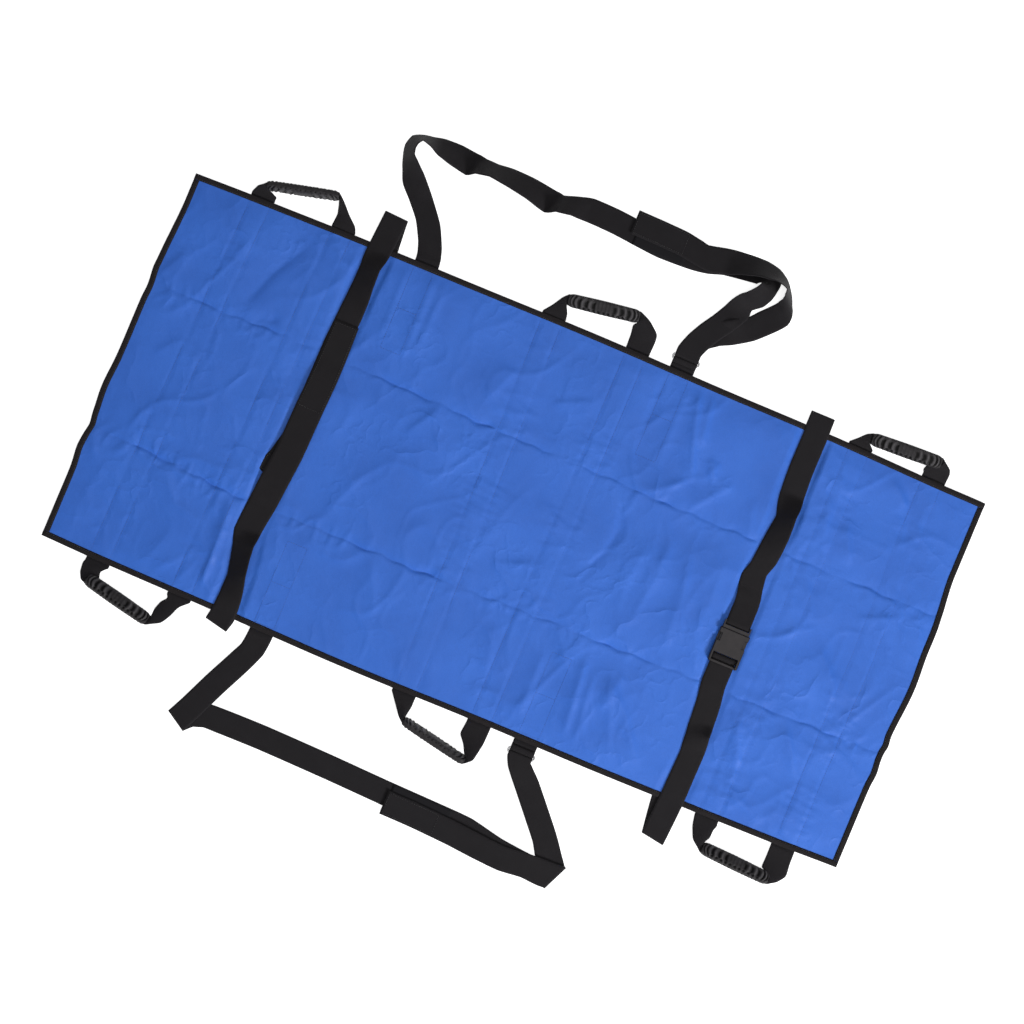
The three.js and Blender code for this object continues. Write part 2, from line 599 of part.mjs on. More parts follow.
// The webbing from the left fold under the sheet, round the right fold and up to the socket's bars.
function legStrapRight() {
  const raised = ON_SHEET + LAYER;
  const arc = (turn) => {
    const z = BAR_Z + WRAP * Math.sin(turn) - WEB_THICK / 2;
    return [BUCKLE_X, SOCKET_BAR_Y - WRAP * Math.cos(turn), z, 0, 0];
  };
  const over = [0, 30, 60, 90, 120, 150, 180].map((degrees) => arc(rad(degrees)));
  const route = [
    ...upturn(...LEG_FOLD.left, 1).reverse(), [487, 404, 0, 0], [489, -404, 0, 0],
    ...halfTurn(...LEG_FOLD.right, 0, [0, -1], WEB_THICK / 2, ON_SHEET + WEB_THICK / 2),
    [502, -400, ON_SHEET, 2], [505, -300, ON_SHEET, 3], [499, -235, ON_SHEET, 3],
    [493, -180, ON_SHEET, 1], [BUCKLE_X, -150, raised, 0], [BUCKLE_X, -103, raised, 0],
    [BUCKLE_X, -100, raised + 0.5, 0], [BUCKLE_X, -98.7, raised + 1.6, 0],
    ...over, [BUCKLE_X, -91.8, BAR_Z - 3.4, 0], [BUCKLE_X, -92.7, ON_SHEET + 0.5, 0],
    [BUCKLE_X, -94.5, ON_SHEET, 0], [BUCKLE_X, -146, ON_SHEET, 0],
  ];
  return finish('leg_strap_right', strip(route, { stride: 90 }), COLOURS.web);
}

// The webbing from the left fold over the sheet, round the plug's bar and back under itself.
function legStrapLeft() {
  const route = [
    [...LEG_FOLD.left, ON_SHEET, 0], [487, 300, ON_SHEET, -2], [493, 200, ON_SHEET, 2, 0, 42],
    [489, 110, ON_SHEET, 2, 0, 46], [487, 70, ON_SHEET, 0], [489, 40, ON_SHEET + LAYER, 0],
    [BUCKLE_X, 22, ON_SHEET + LAYER, 0], [BUCKLE_X, 0, ON_SHEET + 5, 0],
    ...halfTurn(BUCKLE_X, PLUG_BAR_Y, 0, [0, -1], BAR_Z + WRAP, BAR_Z - WRAP),
    [BUCKLE_X, -12, ON_SHEET, 0], [BUCKLE_X, 30, ON_SHEET, 0],
  ];
  return finish('leg_strap_left', strip(route, { stride: 90 }), COLOURS.web);
}

function socket() {
  const [low, high] = [BUCKLE_LOW, BUCKLE_LOW + BUCKLE_THICK];
  const half = BUCKLE_HALF_WIDTH;
  const outline = new THREE.Shape();
  outline.moveTo(-half + 4, SOCKET_END_Y);
  outline.lineTo(half - 4, SOCKET_END_Y);
  outline.quadraticCurveTo(half, SOCKET_END_Y, half, SOCKET_END_Y + 4);
  outline.lineTo(half, MOUTH_Y);
  outline.lineTo(-half, MOUTH_Y);
  outline.lineTo(-half, SOCKET_END_Y + 4);
  outline.quadraticCurveTo(-half, SOCKET_END_Y, -half + 4, SOCKET_END_Y);
  const bevel = 1.5;
  const body = new THREE.ExtrudeGeometry(outline, {
    depth: BUCKLE_THICK - 2 * bevel, bevelThickness: bevel, bevelSize: bevel, bevelOffset: -bevel,
    bevelSegments: 1, curveSegments: 3,
  }).translate(0, 0, low + bevel);
  const slotHalf = WEB / 2 + 1;
  const pockets = [
    box([-THROAT_HALF_WIDTH, -82, low + 3], [THROAT_HALF_WIDTH, MOUTH_Y + 1, high - 3]),
    box([-half - 1, -66, low + 3], [half + 1, -44, high - 3]),
    box([-slotHalf, -103.5, low - 1], [slotHalf, -87, high + 1]),
    box([-slotHalf, SOCKET_END_Y - 1, low - 1], [slotHalf, -103, BAR_Z - 1.3]),
    box([-slotHalf, SOCKET_END_Y - 1, BAR_Z + 3], [slotHalf, -103, high + 1]),
  ];
  const bar = new THREE.CylinderGeometry(WIRE, WIRE, 2 * slotHalf + 4, 8).rotateZ(Math.PI / 2);
  bar.translate(0, SOCKET_BAR_Y, BAR_Z);
  const solid = cut(toManifold(body), pockets).add(toManifold(bar));
  return finish('buckle_socket', fromManifold(solid).translate(BUCKLE_X, 0, 0), COLOURS.buckle, 0.45);
}

function plug() {
  const low = BUCKLE_LOW + 2.2;
  const high = BUCKLE_LOW + BUCKLE_THICK - 2.2;
  const slotHalf = WEB / 2 + 0.6;
  const arm = 2.4;
  const pieces = [
    box([-slotHalf - arm, MOUTH_Y + 0.4, low], [slotHalf + arm, -29, high]),
    box([-4, -70, low + 2], [4, -29, high - 2]),
  ];
  for (const inner of [-slotHalf - arm, slotHalf]) {
    pieces.push(box([inner, -30, low], [inner + arm, -19.4, high]));
  }
  const bar = new THREE.CylinderGeometry(WIRE, WIRE, 2 * slotHalf + arm, 8).rotateZ(Math.PI / 2);
  bar.translate(0, PLUG_BAR_Y, BAR_Z);
  const solid = joined([...pieces, bar]);
  return finish('buckle_plug', fromManifold(solid).translate(BUCKLE_X, 0, 0), COLOURS.buckle, 0.45);
}

const PRONG_ROOT_Y = -38.5;
const PRONG_X = 22.6;

// A springy prong of the plug, with a wider head that shows in the socket's side window.
function prong(name, side) {
  const outline = new THREE.Shape();
  const inner = -3;
  const head = THROAT_HALF_WIDTH - GAP - PRONG_X;
  outline.moveTo(inner, 0);
  outline.absarc(0, 0, 3, Math.PI, 0, true);
  outline.lineTo(3, -8);
  outline.lineTo(head, -11);
  outline.lineTo(head, -26);
  outline.lineTo(1, -38);
  outline.lineTo(inner, -38);
  const low = BUCKLE_LOW + 4;
  const body = new THREE.ExtrudeGeometry(outline, {
    depth: BUCKLE_THICK - 8, bevelEnabled: false, curveSegments: 6,
  });
  const solid = fromManifold(toManifold(body));
  if (side < 0) solid.rotateY(Math.PI).translate(0, 0, BUCKLE_THICK - 8);
  solid.translate(BUCKLE_X + side * PRONG_X, PRONG_ROOT_Y - 1.2, low);
  return finish(name, solid, COLOURS.buckle, 0.45);
}

// ---- assembly ----
const object = new THREE.Group();
object.add(
  sheetPanel(), longBinding('binding_left', 1), longBinding('binding_right', -1),
  endBinding('binding_head', -1), endBinding('binding_foot', 1), ...carryWebs(), chestWeb(),
);
for (const [name, side] of [['left', 1], ['right', -1]]) {
  object.add(
    sewnEnd(`strap_end_${name}`, FOOT_X[name], side), sewnEnd(`tab_end_${name}`, LOOP_X, side),
    shoulderStrap(name, name === 'left' ? LEFT_STRAP : RIGHT_STRAP, side),
    metalLoop(`metal_loop_${name}`, side), loopTab(`loop_tab_${name}`, side),
  );
}
object.add(...shoulderTapes(), chestStrapLeft(), chestStrapRight(), ...chestTapes());
for (const handle of HANDLES) object.add(handleWeb(handle), grip(handle));
object.add(
  legStrapRight(), legStrapLeft(), socket(), plug(), prong('prong_head', -1), prong('prong_foot', 1),
);
export default object;
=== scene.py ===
import math

import bpy
import numpy as np
from mathutils import Matrix, Vector


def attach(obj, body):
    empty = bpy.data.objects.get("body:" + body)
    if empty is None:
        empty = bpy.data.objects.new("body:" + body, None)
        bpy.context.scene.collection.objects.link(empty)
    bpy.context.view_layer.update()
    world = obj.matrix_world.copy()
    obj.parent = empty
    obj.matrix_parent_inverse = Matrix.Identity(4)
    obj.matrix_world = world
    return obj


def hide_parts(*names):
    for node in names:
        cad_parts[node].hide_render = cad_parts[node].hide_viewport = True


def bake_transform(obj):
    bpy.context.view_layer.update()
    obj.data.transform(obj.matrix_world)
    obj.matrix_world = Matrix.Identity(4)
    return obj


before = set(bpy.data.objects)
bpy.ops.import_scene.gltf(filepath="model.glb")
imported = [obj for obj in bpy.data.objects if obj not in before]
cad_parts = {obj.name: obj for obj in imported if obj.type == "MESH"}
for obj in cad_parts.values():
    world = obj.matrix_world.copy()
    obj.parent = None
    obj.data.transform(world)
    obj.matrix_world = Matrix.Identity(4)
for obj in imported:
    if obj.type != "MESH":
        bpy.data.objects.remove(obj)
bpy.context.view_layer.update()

MM = 0.001

# ---- sizes shared with the CAD ----
HALF_LENGTH, HALF_WIDTH, EDGE_BOW = 858.0, 393.0, 11.0
WEB, WEB_THICK, GAP = 50.0, 1.8, 0.3
TAPE, TAPE_THICK = 46.0, 1.0
BINDING, BINDING_THICK, PANEL_THICK = 12.0, 0.6, 0.8
BINDING_LOW = WEB_THICK + GAP
PANEL_LOW = BINDING_LOW + BINDING_THICK + GAP
PANEL_TOP = PANEL_LOW + PANEL_THICK
BINDING_TOP = PANEL_TOP + GAP + BINDING_THICK
ON_SHEET = BINDING_TOP + GAP
LOOP_ON_SHEET = ON_SHEET + WEB_THICK + GAP
HOOK_ON_SHEET = LOOP_ON_SHEET + TAPE_THICK + GAP
OVER_TAPES = HOOK_ON_SHEET + TAPE_THICK + GAP
LOOP_ON_FLOOR = WEB_THICK + GAP
HOOK_ON_FLOOR = LOOP_ON_FLOOR + TAPE_THICK + GAP
OVER_FLOOR_TAPES = HOOK_ON_FLOOR + TAPE_THICK + GAP
LAYER = WEB_THICK + 0.5
HINGE_OUT = 5.0
# heights between which a folded strap turns, clear of the stitches on both of its runs
TURN_LOW, TURN_HIGH = WEB_THICK + 0.6, ON_SHEET - 0.8
HINGE_Y = HALF_WIDTH + EDGE_BOW + HINGE_OUT
HINGE_Z = (BINDING_LOW + BINDING_TOP) / 2
HINGE_LIFT = HINGE_Z - WEB_THICK / 2
GRIP_LENGTH, GRIP_WIDE, GRIP_THICK = 146.0, 29.0, 17.0
FOLDED_WEB, FOLDED_THICK = 22.0, 3.6
WIRE = 2.0
WRAP = WIRE + GAP + WEB_THICK / 2
LOOP_X, LOOP_NEAR_Y, LOOP_FAR_Y, LOOP_HALF_WIDTH = 191.0, 421.7, 431.0, 27.6
LOOP_Z = WRAP + WEB_THICK / 2
SNUG = 0.6  # how far the two bands in a metal loop press towards each other
BUCKLE_X, PLUG_BAR_Y, SOCKET_BAR_Y, BAR_Z, BUCKLE_TALL = 491.0, -22.0, -95.0, ON_SHEET + 6, 14
FOOT_X = {"left": -361.0, "right": -382.0}
SEWN_END = 190.0  # length of webbing sewn under the sheet at the end of a shoulder strap or a tab
rad = math.radians


def edge_y(x):
    return HALF_WIDTH + EDGE_BOW * (1 - (x / HALF_LENGTH) ** 2)


def ease(t):
    return t * t * (3 - 2 * t)


def step(low, high, v):
    return ease(np.clip((v - low) / (high - low), 0, 1))


# ---- materials ----
class Look:
    """Builds one node material: plain numbers or sockets go in, sockets come out."""

    def __init__(self, name, specular, sheen=0.0, roughness=0.6, metallic=0.0):
        self.made = bpy.data.materials.new(name)
        self.made.use_nodes = True
        self.tree = self.made.node_tree
        self.shader = self.tree.nodes["Principled BSDF"]
        for socket, value in (("Roughness", roughness), ("Specular IOR Level", specular),
                              ("Metallic", metallic), ("Sheen Weight", sheen), ("Sheen Roughness", 0.4)):
            self.shader.inputs[socket].default_value = value

    def put(self, socket, value):
        if isinstance(value, bpy.types.NodeSocket):
            self.tree.links.new(value, socket)
        else:
            socket.default_value = (*value, 1) if isinstance(value, tuple) else value

    def node(self, kind, **inputs):
        made = self.tree.nodes.new("ShaderNode" + kind)
        for name, value in inputs.items():
            self.put(made.inputs[name], value)
        return made

    def math(self, operation, a, b=0.0, clamp=False):
        node = self.node("Math")
        node.operation, node.use_clamp = operation, clamp
        self.put(node.inputs[0], a)
        self.put(node.inputs[1], b)
        return node.outputs[0]

    def times(self, a, b, clamp=False):
        return self.math("MULTIPLY", a, b, clamp)

    def plus(self, a, b, clamp=False):
        return self.math("ADD", a, b, clamp)

    def between(self, value, low, high):
        return self.plus(self.times(value, high - low), low)

    def wave(self, v, period):
        """From 0 to 1 and back once each period."""
        return self.plus(self.times(self.math("SINE", self.times(v, 2 * math.pi / period)), 0.5), 0.5)

    def place(self):
        """Object coordinates in millimetres: vector, x, y, z."""
        return self.millimetres(self.node("TexCoord").outputs["Object"])

    def strip(self):
        """The strip's own coordinates in millimetres: vector, across, along."""
        node = self.node("UVMap")
        node.uv_map = "strip"
        return self.millimetres(node.outputs["UV"])

    def millimetres(self, vector):
        node = self.node("VectorMath")
        node.operation = "SCALE"
        self.put(node.inputs[0], vector)
        node.inputs["Scale"].default_value = 1 / MM
        return node.outputs[0], *self.node("SeparateXYZ", Vector=node.outputs[0]).outputs[:3]

    def noise(self, vector, size, detail=3.0, rough=0.55):
        """Cloudy noise whose features are about that many millimetres."""
        node = self.node("TexNoise", Vector=vector, Scale=1 / size, Detail=detail, Roughness=rough)
        return node.outputs["Fac"]

    def attribute(self, name):
        node = self.node("Attribute")
        node.attribute_name = name
        return node.outputs["Fac"]

    def ramp(self, value, *stops):
        node = self.node("ValToRGB", Fac=value)
        bar = node.color_ramp.elements
        while len(bar) < len(stops):
            bar.new(0.5)
        for element, (at, colour) in zip(bar, stops):
            element.position, element.color = at, (*colour, 1)
        return node.outputs["Color"]

    def mix(self, factor, a, b, kind="MIX"):
        node = self.node("Mix", Factor=factor)
        node.data_type, node.blend_type = "RGBA", kind
        self.put(node.inputs[6], a)
        self.put(node.inputs[7], b)
        return node.outputs[2]

    def bump(self, height, depth, strength=1.0, under=None):
        """Depth is the millimetres that a height of 1 stands for."""
        node = self.node("Bump", Strength=strength, Distance=depth * MM, Height=height)
        if under is not None:
            self.put(node.inputs["Normal"], under)
        return node.outputs["Normal"]

    def done(self, colour, roughness=None, normal=None):
        for socket, value in (("Base Color", colour), ("Roughness", roughness), ("Normal", normal)):
            if value is not None:
                self.put(self.shader.inputs[socket], value)
        return self.made


SHEET_SHADE, SHEET_BLUE, SHEET_PALE = (0.034, 0.148, 0.63), (0.038, 0.165, 0.690), (0.043, 0.180, 0.735)


def sheet_look():
    look = Look("coated_fabric", specular=0.35, sheen=0.12)
    at, x, y, _ = look.place()
    yarn = 1.7
    weave = look.times(look.wave(x, yarn), look.wave(y, yarn))
    slub = look.noise(at, 2.5, 2)
    cloud = look.noise(at, 160, 4)
    colour = look.ramp(cloud, (0.3, SHEET_SHADE), (0.52, SHEET_BLUE), (0.75, SHEET_PALE))
    grain = look.times(look.between(weave, 0.86, 1.06), look.between(slub, 0.9, 1.1))
    tint = look.node("CombineColor", Red=grain, Green=grain, Blue=grain)
    colour = look.mix(1.0, colour, tint.outputs[0], "MULTIPLY")
    rough = look.between(look.noise(at, 30, 3), 0.46, 0.66)
    crumple = look.bump(look.noise(at, 26, 5, 0.6), 1.4, 0.5)
    for size, depth, where in ((95, 2.0, 230), (42, 0.9, 150)):
        middle = look.math("ABSOLUTE", look.math("SUBTRACT", look.noise(at, size, 2, 0.4), 0.5))
        crease = look.math("POWER", look.math("SUBTRACT", 1.0, look.times(middle, 5.0), True), 3.0)
        patch = look.times(look.math("SUBTRACT", look.noise(at, where, 2), 0.46), 5.0, True)
        crumple = look.bump(look.times(crease, patch), depth, 0.8, crumple)
    small = look.bump(look.noise(at, 6, 2), 0.25, 0.35, crumple)
    return look.done(colour, rough, look.bump(weave, 0.16, 0.5, small))


def webbing_look():
    look = Look("webbing", specular=0.14, sheen=0.06)
    at, across, along, _ = look.strip()
    rib = 2.0
    column = look.wave(across, rib)
    zigzag = look.plus(along, look.times(look.wave(across, rib * 2), 1.1))
    pick = look.wave(zigzag, 1.5)
    weave = look.plus(look.times(column, 0.45), look.times(pick, 0.55))
    fuzz = look.noise(at, 1.2, 2)
    worn = look.noise(at, 38, 4)
    side = look.math("ABSOLUTE", look.math("SUBTRACT", across, WEB / 2))
    # lighter over the outer 2.2 mm of both edges: a painted highlight where the rounded selvedges catch the
    # light
    painted_edge_highlight = look.times(look.math("SUBTRACT", side, WEB / 2 - 2.2), 1.2, True)
    shade = look.times(weave, look.between(worn, 0.45, 1.1))
    shade = look.plus(shade, look.times(painted_edge_highlight, 0.22), True)
    colour = look.mix(shade, (0.0084, 0.0074, 0.0086), (0.024, 0.022, 0.025))
    hairy = look.bump(fuzz, 0.12, 0.5, look.bump(worn, 0.5, 0.4))
    return look.done(colour, look.between(fuzz, 0.62, 0.86), look.bump(weave, 0.38, 0.9, hairy))


def tape_look(name, fluffy):
    look = Look(name, specular=0.1, sheen=0.05)
    at, across, along, _ = look.strip()
    if fluffy:
        pile = look.noise(at, 0.9, 4, 0.7)
    else:
        pile = look.times(look.wave(across, 1.3), look.wave(along, 1.3))
    colour = look.mix(pile, (0.006, 0.006, 0.007), (0.022, 0.021, 0.024))
    return look.done(colour, look.between(pile, 0.8, 1.0), look.bump(pile, 0.5, 0.9))


def binding_look():
    look = Look("binding_tape", specular=0.14, sheen=0.06)
    at, across, along, _ = look.strip()
    ribs = look.wave(along, 1.25)
    fuzz = look.noise(at, 1.4, 2)
    worn = look.noise(at, 30, 4)
    shade = look.times(ribs, look.between(worn, 0.4, 1.2), True)
    colour = look.mix(shade, (0.008, 0.0068, 0.0076), (0.026, 0.022, 0.024))
    soft = look.bump(worn, 0.6, 0.5)
    return look.done(colour, look.between(fuzz, 0.6, 0.85), look.bump(ribs, 0.22, 0.8, soft))


def thread_look(name, base, pale):
    look = Look(name, specular=0.3, sheen=0.2, roughness=0.5)
    _, x, y, z = look.place()
    twist = look.wave(look.plus(look.plus(x, y), z), 0.5)
    return look.done(look.mix(twist, base, pale), None, look.bump(twist, 0.08, 0.6))


def grip_look():
    look = Look("moulded_grip", specular=0.14)
    at, *_ = look.place()
    # the relief attribute carries painted shade and highlight: near black in the grooves, pits and bore,
    # lighter on the rib crests; the dust noise varies it at random
    relief = look.attribute("relief")
    dust = look.noise(at, 9, 4)
    grain = look.noise(at, 0.8, 2)
    high = look.times(relief, look.between(dust, 0.55, 1.1), True)
    colour = look.ramp(high, (0.0, (0.0012, 0.0012, 0.0012)), (0.5, (0.028, 0.0262, 0.028)),
                       (1.0, (0.105, 0.100, 0.105)))
    return look.done(colour, look.between(dust, 0.42, 0.62), look.bump(grain, 0.05, 0.5))


def buckle_look():
    look = Look("moulded_buckle", specular=0.32)
    at, *_ = look.place()
    flow = look.noise(at, 14, 4)
    grain = look.noise(at, 0.6, 2)
    colour = look.ramp(flow, (0.3, (0.016, 0.0135, 0.0152)), (0.7, (0.027, 0.023, 0.025)))
    scuff = look.math("GREATER_THAN", look.noise(at, 3.2, 6, 0.7), 0.66)
    colour = look.mix(look.times(scuff, 0.35), colour, (0.09, 0.085, 0.086))
    return look.done(colour, look.between(flow, 0.36, 0.56), look.bump(grain, 0.06, 0.6))


def metal_look():
    look = Look("plated_steel", specular=0.5, metallic=1.0)
    at, *_ = look.place()
    drawn = look.noise(at, 1.5, 3)
    colour = look.ramp(look.noise(at, 5, 4), (0.3, (0.42, 0.42, 0.43)), (0.7, (0.66, 0.66, 0.67)))
    return look.done(colour, look.between(drawn, 0.16, 0.36), look.bump(drawn, 0.03, 0.4))


def floor_look():
    look = Look("floor", specular=0.1, roughness=0.9)
    look.shader.inputs["Emission Color"].default_value = (1, 1, 1, 1)
    look.shader.inputs["Emission Strength"].default_value = 0.75
    return look.done((0.86, 0.86, 0.86))


LOOKS = {
    "sheet": sheet_look(), "web": webbing_look(), "binding": binding_look(), "grip": grip_look(),
    "loop_tape": tape_look("loop_tape", True), "hook_tape": tape_look("hook_tape", False),
    "buckle": buckle_look(), "metal": metal_look(),
    "blue_thread": thread_look("blue_thread", (0.02, 0.07, 0.30), (0.045, 0.15, 0.52)),
    "black_thread": thread_look("black_thread", (0.008, 0.008, 0.009), (0.032, 0.030, 0.033)),
}


# ---- objects and meshes ----
def linked(name, data):
    made = bpy.data.objects.new(name, data)
    bpy.context.scene.collection.objects.link(made)
    return made


def hand_over(made, body, slot, *nodes):
    """The piece rides on that body and stands for those CAD nodes, which it hides; the slot is not used."""
    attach(made, body)
    if nodes:
        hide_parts(*nodes)


class Build:
    """Gathers points, faces, strip coordinates and materials for one object."""

    def __init__(self):
        self.points, self.faces, self.coords, self.slots, self.count = [], [], [], [], 0

    def add(self, points, faces, coords=None, slot=0):
        base = self.count
        self.points.append(np.asarray(points, float))
        self.count += len(points)
        self.faces.extend([tuple(base + k for k in f) for f in faces])
        self.coords.extend(coords or [[(0, 0)] * len(f) for f in faces])
        self.slots.extend([slot] * len(faces))

    def tube(self, points, rows, around, coords):
        """A closed tube of rows of points with flat ends."""
        faces, corners = grid_faces(rows, around, True, coords)
        caps = [list(range(around))[::-1], list(range((rows - 1) * around, rows * around))]
        self.add(points, faces + caps, corners + [[coords[k] for k in cap] for cap in caps])

    def make(self, name, *looks):
        mesh = bpy.data.meshes.new(name)
        mesh.from_pydata((np.concatenate(self.points) * MM).tolist(), [], self.faces)
        for look in looks:
            mesh.materials.append(LOOKS[look])
        mesh.polygons.foreach_set("material_index", self.slots)
        mesh.polygons.foreach_set("use_smooth", [True] * len(self.faces))
        marks = [c * MM for face in self.coords for corner in face for c in corner]
        mesh.uv_layers.new(name="strip").data.foreach_set("uv", marks)
        mesh.update()
        return linked(name, mesh)


def grid_faces(rows, columns, closed, coords):
    """Quads over rows x columns of points, with the strip coordinates of their corners."""
    faces, corners = [], []
    for r in range(rows - 1):
        for c in range(columns if closed else columns - 1):
            d = (c + 1) % columns
            quad = [r * columns + c, r * columns + d, (r + 1) * columns + d, (r + 1) * columns + c]
            faces.append(quad)
            corners.append([coords[k] for k in quad])
    return faces, corners


# ---- strips of webbing ----
def catmull(points, k, t):
    """A point between control points k and k + 1 of the smooth curve that the CAD runs through them."""
    last = len(points) - 1
    p1, p2 = points[k], points[min(k + 1, last)]
    p0 = points[k - 1] if k > 0 else 2 * points[0] - points[1]
    p3 = points[k + 2] if k + 2 <= last else 2 * points[last] - points[last - 1]
    d0, d1, d2 = (math.sqrt(np.linalg.norm(b - a)) for a, b in ((p0, p1), (p1, p2), (p2, p3)))
    d1 = d1 if d1 > 1e-4 else 1.0
    d0, d2 = (d if d > 1e-4 else d1 for d in (d0, d2))
    t1 = ((p1 - p0) / d0 - (p2 - p0) / (d0 + d1) + (p2 - p1) / d1) * d1
    t2 = ((p2 - p1) / d1 - (p3 - p1) / (d1 + d2) + (p3 - p2) / d2) * d1
    return p1 + t1 * t + (-3 * p1 + 3 * p2 - 2 * t1 - t2) * t * t + (2 * p1 - 2 * p2 + t1 + t2) * t ** 3


def strip_frames(stations, thick=WEB_THICK, stride=7.0, width=WEB, sharp=0.0):
    """Frames (middle, across, up, width, thickness, curl) along a strip: the CAD's, but finer and sharper."""
    full = []
    for station in stations:
        x, y, lift, azimuth, tilt, wide = (*station, *(0.0, 0.0, width)[len(station) - 3:])
        rise = wide / 2 * abs(math.sin(rad(tilt))) + thick / 2 * abs(math.cos(rad(tilt)))
        full.append([x, y, lift + rise, azimuth, tilt, wide])
    control = [np.array(f[:2]) for f in full]
    spots = []
    for k, here in enumerate(full):
        if k + 1 == len(full):
            spots.append(here)
            break
        after = full[k + 1]
        pieces = max(1, math.ceil(math.dist(here[:2], after[:2]) / stride))
        for i in range(pieces):
            t = i / pieces
            on = catmull(control, k, t)
            share = ease(t) + (t - ease(t)) * sharp
            on = on + (control[k] + (control[k + 1] - control[k]) * t - on) * sharp * 0.7
            spots.append([*on, *(h + (a - h) * share for h, a in zip(here[2:], after[2:]))])
    middles = [np.array(s[:3]) for s in spots]
    frames = []
    for k, (_, _, _, azimuth, tilt, wide) in enumerate(spots):
        along = middles[min(k + 1, len(spots) - 1)] - middles[max(0, k - 1)]
        flat = math.cos(rad(tilt))
        across = np.array([math.cos(rad(azimuth)) * flat, math.sin(rad(azimuth)) * flat, math.sin(rad(tilt))])
        up = np.cross(along, across)
        frames.append((middles[k], across, up / np.linalg.norm(up), wide, thick, 0.0))
    return frames


def lying(lift, *spots):
    """Stations from (x, y, azimuth, tilt, width), all at one height."""
    return [(x, y, lift, *rest) for x, y, *rest in spots]


def half_turn(x, y, azimuth, out, z_from, z_to, width=WEB, steps=8):
    radius = (z_to - z_from) / 2
    stations = []
    for k in range(steps + 1):
        turn = math.pi * k / steps
        reach = abs(radius) * math.sin(turn)
        z = z_from + radius * (1 - math.cos(turn)) - WEB_THICK / 2
        stations.append((x + out[0] * reach, y + out[1] * reach, z, azimuth, 0, width))
    return stations


ACROSS = (-1.0, -0.8, -0.4, 0.0, 0.4, 0.8, 1.0)


class Strip:
    """A closed strip through frames, with a way to sew on it."""

    def __init__(self, frames):
        self.frames = frames
        self.build = Build()
        steps = [np.linalg.norm(b[0] - a[0]) for a, b in zip(frames, frames[1:])]
        self.at = np.concatenate([[0.0], np.cumsum(steps)])
        rings, coords = [], []
        for (middle, across, up, wide, thick, curl), along in zip(frames, self.at):
            ring, marks = [], []
            half = wide / 2
            for face, order in ((1, ACROSS), (-1, ACROSS[::-1])):
                for u in order:
                    inset = half - 0.45 if abs(u) == 1 else half
                    high = face * thick / 2 + curl * (1 - u * u)
                    ring.append(middle + across * (u * inset) + up * high)
                    marks.append(((u + 1) / 2 * WEB, along))
                ring.append(middle + across * (face * half))
                marks.append(((face + 1) / 2 * WEB, along))
            ring = np.array(ring)
            ring[:, 2] -= min(0.0, ring[:, 2].min())
            rings.append(ring)
            coords.extend(marks)
        self.build.tube(np.concatenate(rings), len(rings), len(rings[0]), coords)

    @property
    def length(self):
        return float(self.at[-1])

    def spot(self, across, along, face):
        """Surface points those millimetres from the middle line and from the start, and their normals."""
        place = np.interp(along, self.at, np.arange(len(self.at)))
        k = np.minimum(place.astype(int), len(self.at) - 2)
        t = (place - k)[:, None]
        middle, side, up = (np.array([f[n] for f in self.frames]) for n in (0, 1, 2))
        wide, thick, curl = (np.array([f[n] for f in self.frames])[:, None] for n in (3, 4, 5))
        middle, side, up, wide, thick, curl = (
            v[k] * (1 - t) + v[k + 1] * t for v in (middle, side, up, wide, thick, curl))
        u = (across / (WEB / 2))[:, None]
        return middle + side * (u * wide / 2) + up * (face * thick / 2 + curl * (1 - u * u)), up * face

    def sew(self, *corners, faces=(1, -1)):
        """Stitches from corner to corner, each (across, along)."""
        for face in faces:
            for (u0, v0), (u1, v1) in zip(corners, corners[1:]):
                stitches(self.build, lambda s: self.spot(u0 + (u1 - u0) * s, v0 + (v1 - v0) * s, face),
                         math.hypot(u1 - u0, v1 - v0), 1)

    def box(self, low, high, inset=4.0, cross=True):
        """A sewn box from one distance along to another, with its cross."""
        u = WEB / 2 - inset
        self.sew((-u, low), (u, low), (u, high), (-u, high), (-u, low))
        if cross:
            self.sew((-u, low), (u, high))
            self.sew((u, low), (-u, high))


def stitches(build, line, length, slot, stitch=3.8, gap=1.2, radius=0.34):
    """Raised stitches along line(shares), which gives surface points and their normals."""
    count = max(1, int(length / (stitch + gap)))
    low = (np.arange(count) + 0.12) / count
    high = low + 0.76 / count
    start, up = line(low)
    end = line(high)[0]
    along = end - start
    reach = np.linalg.norm(along, axis=1, keepdims=True)
    side = np.cross(along / np.maximum(reach, 1e-9), up) * radius
    rings = []
    for share, size, lift in ((0.0, 0.35, -0.1), (0.28, 1.0, 0.2), (0.72, 1.0, 0.2), (1.0, 0.35, -0.1)):
        spot = start + along * share + up * lift
        rings += [spot + side * size, spot + up * (radius * size), spot - side * size]
    points = np.stack(rings, 1)[reach[:, 0] > 0.5]
    one = [[r * 3 + c, r * 3 + (c + 1) % 3, r * 3 + 3 + (c + 1) % 3, r * 3 + 3 + c]
           for r in range(3) for c in range(3)]
    one += [[2, 1, 0], [9, 10, 11]]
    faces = [[12 * n + k for k in f] for n in range(len(points)) for f in one]
    build.add(points.reshape(-1, 3), faces, slot=slot)


def web_piece(strip, name, *nodes, body, turn=None, width=WEB, held="laid", rests="floor", look="web",
              slot="webbing"):
    """The strip's mesh: it rides on a body, or, when a turn between two points is given, keeps its place in
    the world.
    """
    made = strip.build.make(name, look, "black_thread")
    if turn:
        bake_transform(made)
    else:
        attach(made, body)
    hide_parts(*nodes)


